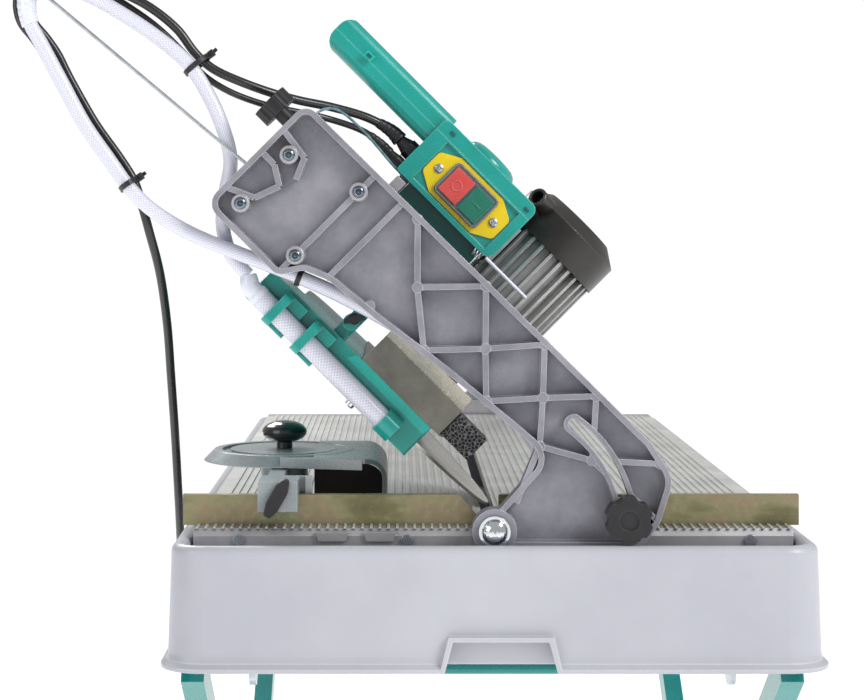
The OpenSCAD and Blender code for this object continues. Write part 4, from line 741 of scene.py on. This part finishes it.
def rounded_frame(half_v, half_u, corner, section, place):
    """A frame round a rounded rectangle: each path point plus n times its outward way, h towards the
    viewer, for the section's (n, h) in millimetres. Points and faces, closed both ways."""
    a = np.concatenate([np.linspace(q, q + math.pi / 2, 7) for q in np.arange(4) * math.pi / 2])
    out_v, out_u = np.cos(a), np.sin(a)
    quarter = np.repeat(np.arange(4), 7)
    mid_v = np.array([1, -1, -1, 1])[quarter] * (half_v - corner)
    mid_u = np.array([1, 1, -1, -1])[quarter] * (half_u - corner)
    n, h = np.array(section)[:, 0], np.array(section)[:, 1]
    v = mid_v[:, None] + out_v[:, None] * (corner + n)
    u = mid_u[:, None] + out_u[:, None] * (corner + n)
    toward = h[:, None] * np.array([0, 1, 0])
    points = np.asarray(place) + (v[..., None] * V_WAY + u[..., None] * U_WAY - toward) * MM
    return points.reshape(-1, 3), grid_faces(len(a), len(section), True)


bezel = [(0, 0), (0, 4.6), (0.5, 5.1), (1.3, 5.1), (2.0, 4.4), (2.2, 0)]
make("switch_bezel", *rounded_frame(15.2, 24.2, 3.0, bezel, bridge([SWITCH_V, 119.4, SWITCH_U])), GREY_ABS,
    "head", sharp=50)

# Cable stub on the fan cover: a short pipe with an open mouth
mouth = np.array([0.0, -0.74, 0.0]) + 0.67 * U_WAY
stub = [(0.4, -12), (6.2, -12), (6.2, -0.6), (6.9, 0), (8.4, 0), (9.2, -0.9), (9.2, -24), (0.4, -24)]
make("fan_cover_stub", *turned(stub[::-1], bridge([234, 175.5, 169.5]), mouth), FAN_BLACK, "head")

# Clear sight rod and the coiled clip that holds it
tube("sight_rod", bridge(evenly(np.array([[160, 117.5, 165.5], [160, 117.5, 115.0]]), 2.0)), 1.7 * MM,
    CLEAR, "head", 16)
# The clip's wire: a helix of three turns
turns = np.linspace(0, 3 * 2 * math.pi, 90)
clip = np.stack([157 + 3.2 * np.cos(turns), 119 + 3.2 * np.sin(turns), 169 + 9 * turns / turns[-1]], -1)
tube("rod_clip", bridge(clip), 0.75 * MM, ZINC, "head", 10)

# The guard's chamfer along its right edge, in lighter teal as a painted highlight
band = [(10.8, 96), (19.8, 94.4), (19.8, 186), (10.8, 192)]
make("guard_chamfer", *plate(band, 0.3, V_WAY, U_WAY, bridge([0, 92.95, 0])), TEAL_BRIGHT, "head")

# ---------- Protractor: a dark sheet of painted shade in the hollow under its disc ---

# Its heights are in millimetres above the floor
bend = [(-96 - 20 + 20 * math.cos(t), 757 + 15 * math.sin(t)) for t in np.linspace(0, math.pi / 2, 10)]
hollow_shade_outline = [(-160, 737.9), (-96, 737.9), *bend, (-160, 772)]
place = machine([0, 205, 0]) - np.array([0, 0, TABLE_TOP])
make("protractor_hollow_shade", *plate(hollow_shade_outline, -3.0, [1, 0, 0], [0, 0, 1], place), FAN_BLACK, "stop_disc")

# ---------- Marks in relief on the two buttons ----------

# A ring: centre + (r cos a, -h, r sin a) for each (r, h) of its section
RING_SIDES = 48
loop = np.array([(3.9, 0.02), (5.1, 0.02), (5.0, 0.45), (4.0, 0.45)])
a = full_turn(RING_SIDES)[:, None]
red_at = bridge([SWITCH_V, 113, SWITCH_U + KEY_OFF])
ring = np.stack([red_at[0] + loop[:, 0] * MM * np.cos(a),
    np.full((RING_SIDES, len(loop)), red_at[1]) - loop[:, 1] * MM,
    red_at[2] + loop[:, 0] * MM * np.sin(a)], -1).reshape(-1, 3)
ring_faces = [[p, s, r, q] for p, q, r, s in grid_faces(RING_SIDES, len(loop), True)]
make("stop_ring", ring, ring_faces, RED, "stop_key")
bar = plate([(-0.8, -5), (0.8, -5), (0.8, 5), (-0.8, 5)], 0.4, unit(np.array([1.0, 0, 1.0])),
    unit(np.array([-1.0, 0, 1.0])), bridge([SWITCH_V, 112.98, SWITCH_U - KEY_OFF]))
make("start_bar", *bar, GREEN, "start_key")

# ---------- Finishes of the frame's own pieces ----------

FINISHES = [
    (TANK_PE, "water_tank drain_plug"),
    (BLACK, "pump mains_plug front_tilt_knob rear_tilt_knob lock_knob"),
    (BLACK, "motor_end_bell cable_glands clamp_lever"),
    (FAN_BLACK, "fan_cover"),
    (GLOSS_BLACK, "protractor_knob"),
    (TABLE_ALU, "table"),
    (ANODISED, "front_crossbar rear_crossbar beam carriage tilt_lugs"),
    (ZINC, "crossbar_screws arm_screws housing_screws centre_bolts roller_axles motor_shaft"),
    (ZINC, "blade_flanges stand_brackets whip_rod"),
    (CHROME, "tilt_bolts"),
    (FENCE, "fence"),
    (CAST, "front_arm rear_arm head_casting"),
    (CAST_DARK, "motor_body"),
    (TEAL_PAINT, "outer_legs outer_tubes inner_legs inner_tubes"),
    (TEAL_ABS, "blade_guard guard_clips housing housing_cover"),
    (YELLOW, "switch_plate"),
    (GREY_ABS, "switch_frame"),
    (RED, "stop_button"),
    (GREEN, "start_button"),
    (STAINLESS, "splash_plate"),
    (STOP_ZINC, "protractor protractor_saddle"),
    (BLADE, "blade"),
    (FOAM, "sponge"),
    (CLEAR, "guard_hose"),
    (RUBBER, "front_rollers rear_rollers"),
]
for material, names in FINISHES:
    for name in names.split():
        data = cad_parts[name].data
        data.materials.clear()
        data.materials.append(material)

# ---------- Floor and light ----------

PAPER_GRAIN = 180.0  # specks to a metre
FLOOR_HALF = 12.0
BACKDROP, AMBIENT = 1.05, 0.46  # white behind the machine, and a weaker even light on it
AIM = machine([0, 200, 100])
LIGHTS = [
    ("key", [1500, -1100, 1500], 0.9, 34),
    ("fill", [-1500, -1300, 700], 1.2, 8),
    ("rim", [-900, 1700, 1500], 1.0, 30),
]


def soft_light(name, place, target, size, power):
    """A square white area light that faces a target."""
    data = bpy.data.lights.new(name, "AREA")
    data.shape = "SQUARE"
    data.size = size
    data.energy = power
    lamp = bpy.data.objects.new(name, data)
    lamp.location = place
    way = unit(np.array(place) - np.array(target))
    lamp.rotation_euler = (math.acos(way[2]), 0, math.atan2(way[1], way[0]) + math.pi / 2)
    scene.collection.objects.link(lamp)


paper, tree, shader = new_material("white_studio_paper")
flat = add(tree, "ShaderNodeTexCoord").outputs["Object"]
grain = add(tree, "ShaderNodeTexNoise", {"Scale": PAPER_GRAIN, "Detail": 2, "Vector": flat})
tone = mixed(tree, grain.outputs["Fac"], "#F2F2F2", "#FFFFFF")
tree.links.new(tone, shader.inputs["Base Color"])
shader.inputs["Roughness"].default_value = 0.9
shader.inputs["Emission Color"].default_value = linear("#FFFFFF")
shader.inputs["Emission Strength"].default_value = 0.6

floor = bpy.data.objects.new("floor", bpy.data.meshes.new("floor"))
square = [(x * FLOOR_HALF, y * FLOOR_HALF, 0) for x, y in ((-1, -1), (1, -1), (1, 1), (-1, 1))]
floor.data.from_pydata(square, [], [(0, 1, 2, 3)])
floor.data.materials.append(paper)
scene.collection.objects.link(floor)

world = bpy.data.worlds.new("studio")
scene.world = world
world.use_nodes = True
sky = world.node_tree.nodes["Background"]
sky.inputs["Color"].default_value = linear("#FFFFFF")
seen = add(world.node_tree, "ShaderNodeLightPath").outputs["Is Camera Ray"]
level = ranged(world.node_tree, seen, 0.0, 1.0, AMBIENT, BACKDROP)
world.node_tree.links.new(level, sky.inputs["Strength"])
for name, place, size, power in LIGHTS:
    soft_light(name, machine(place), AIM, size, power)
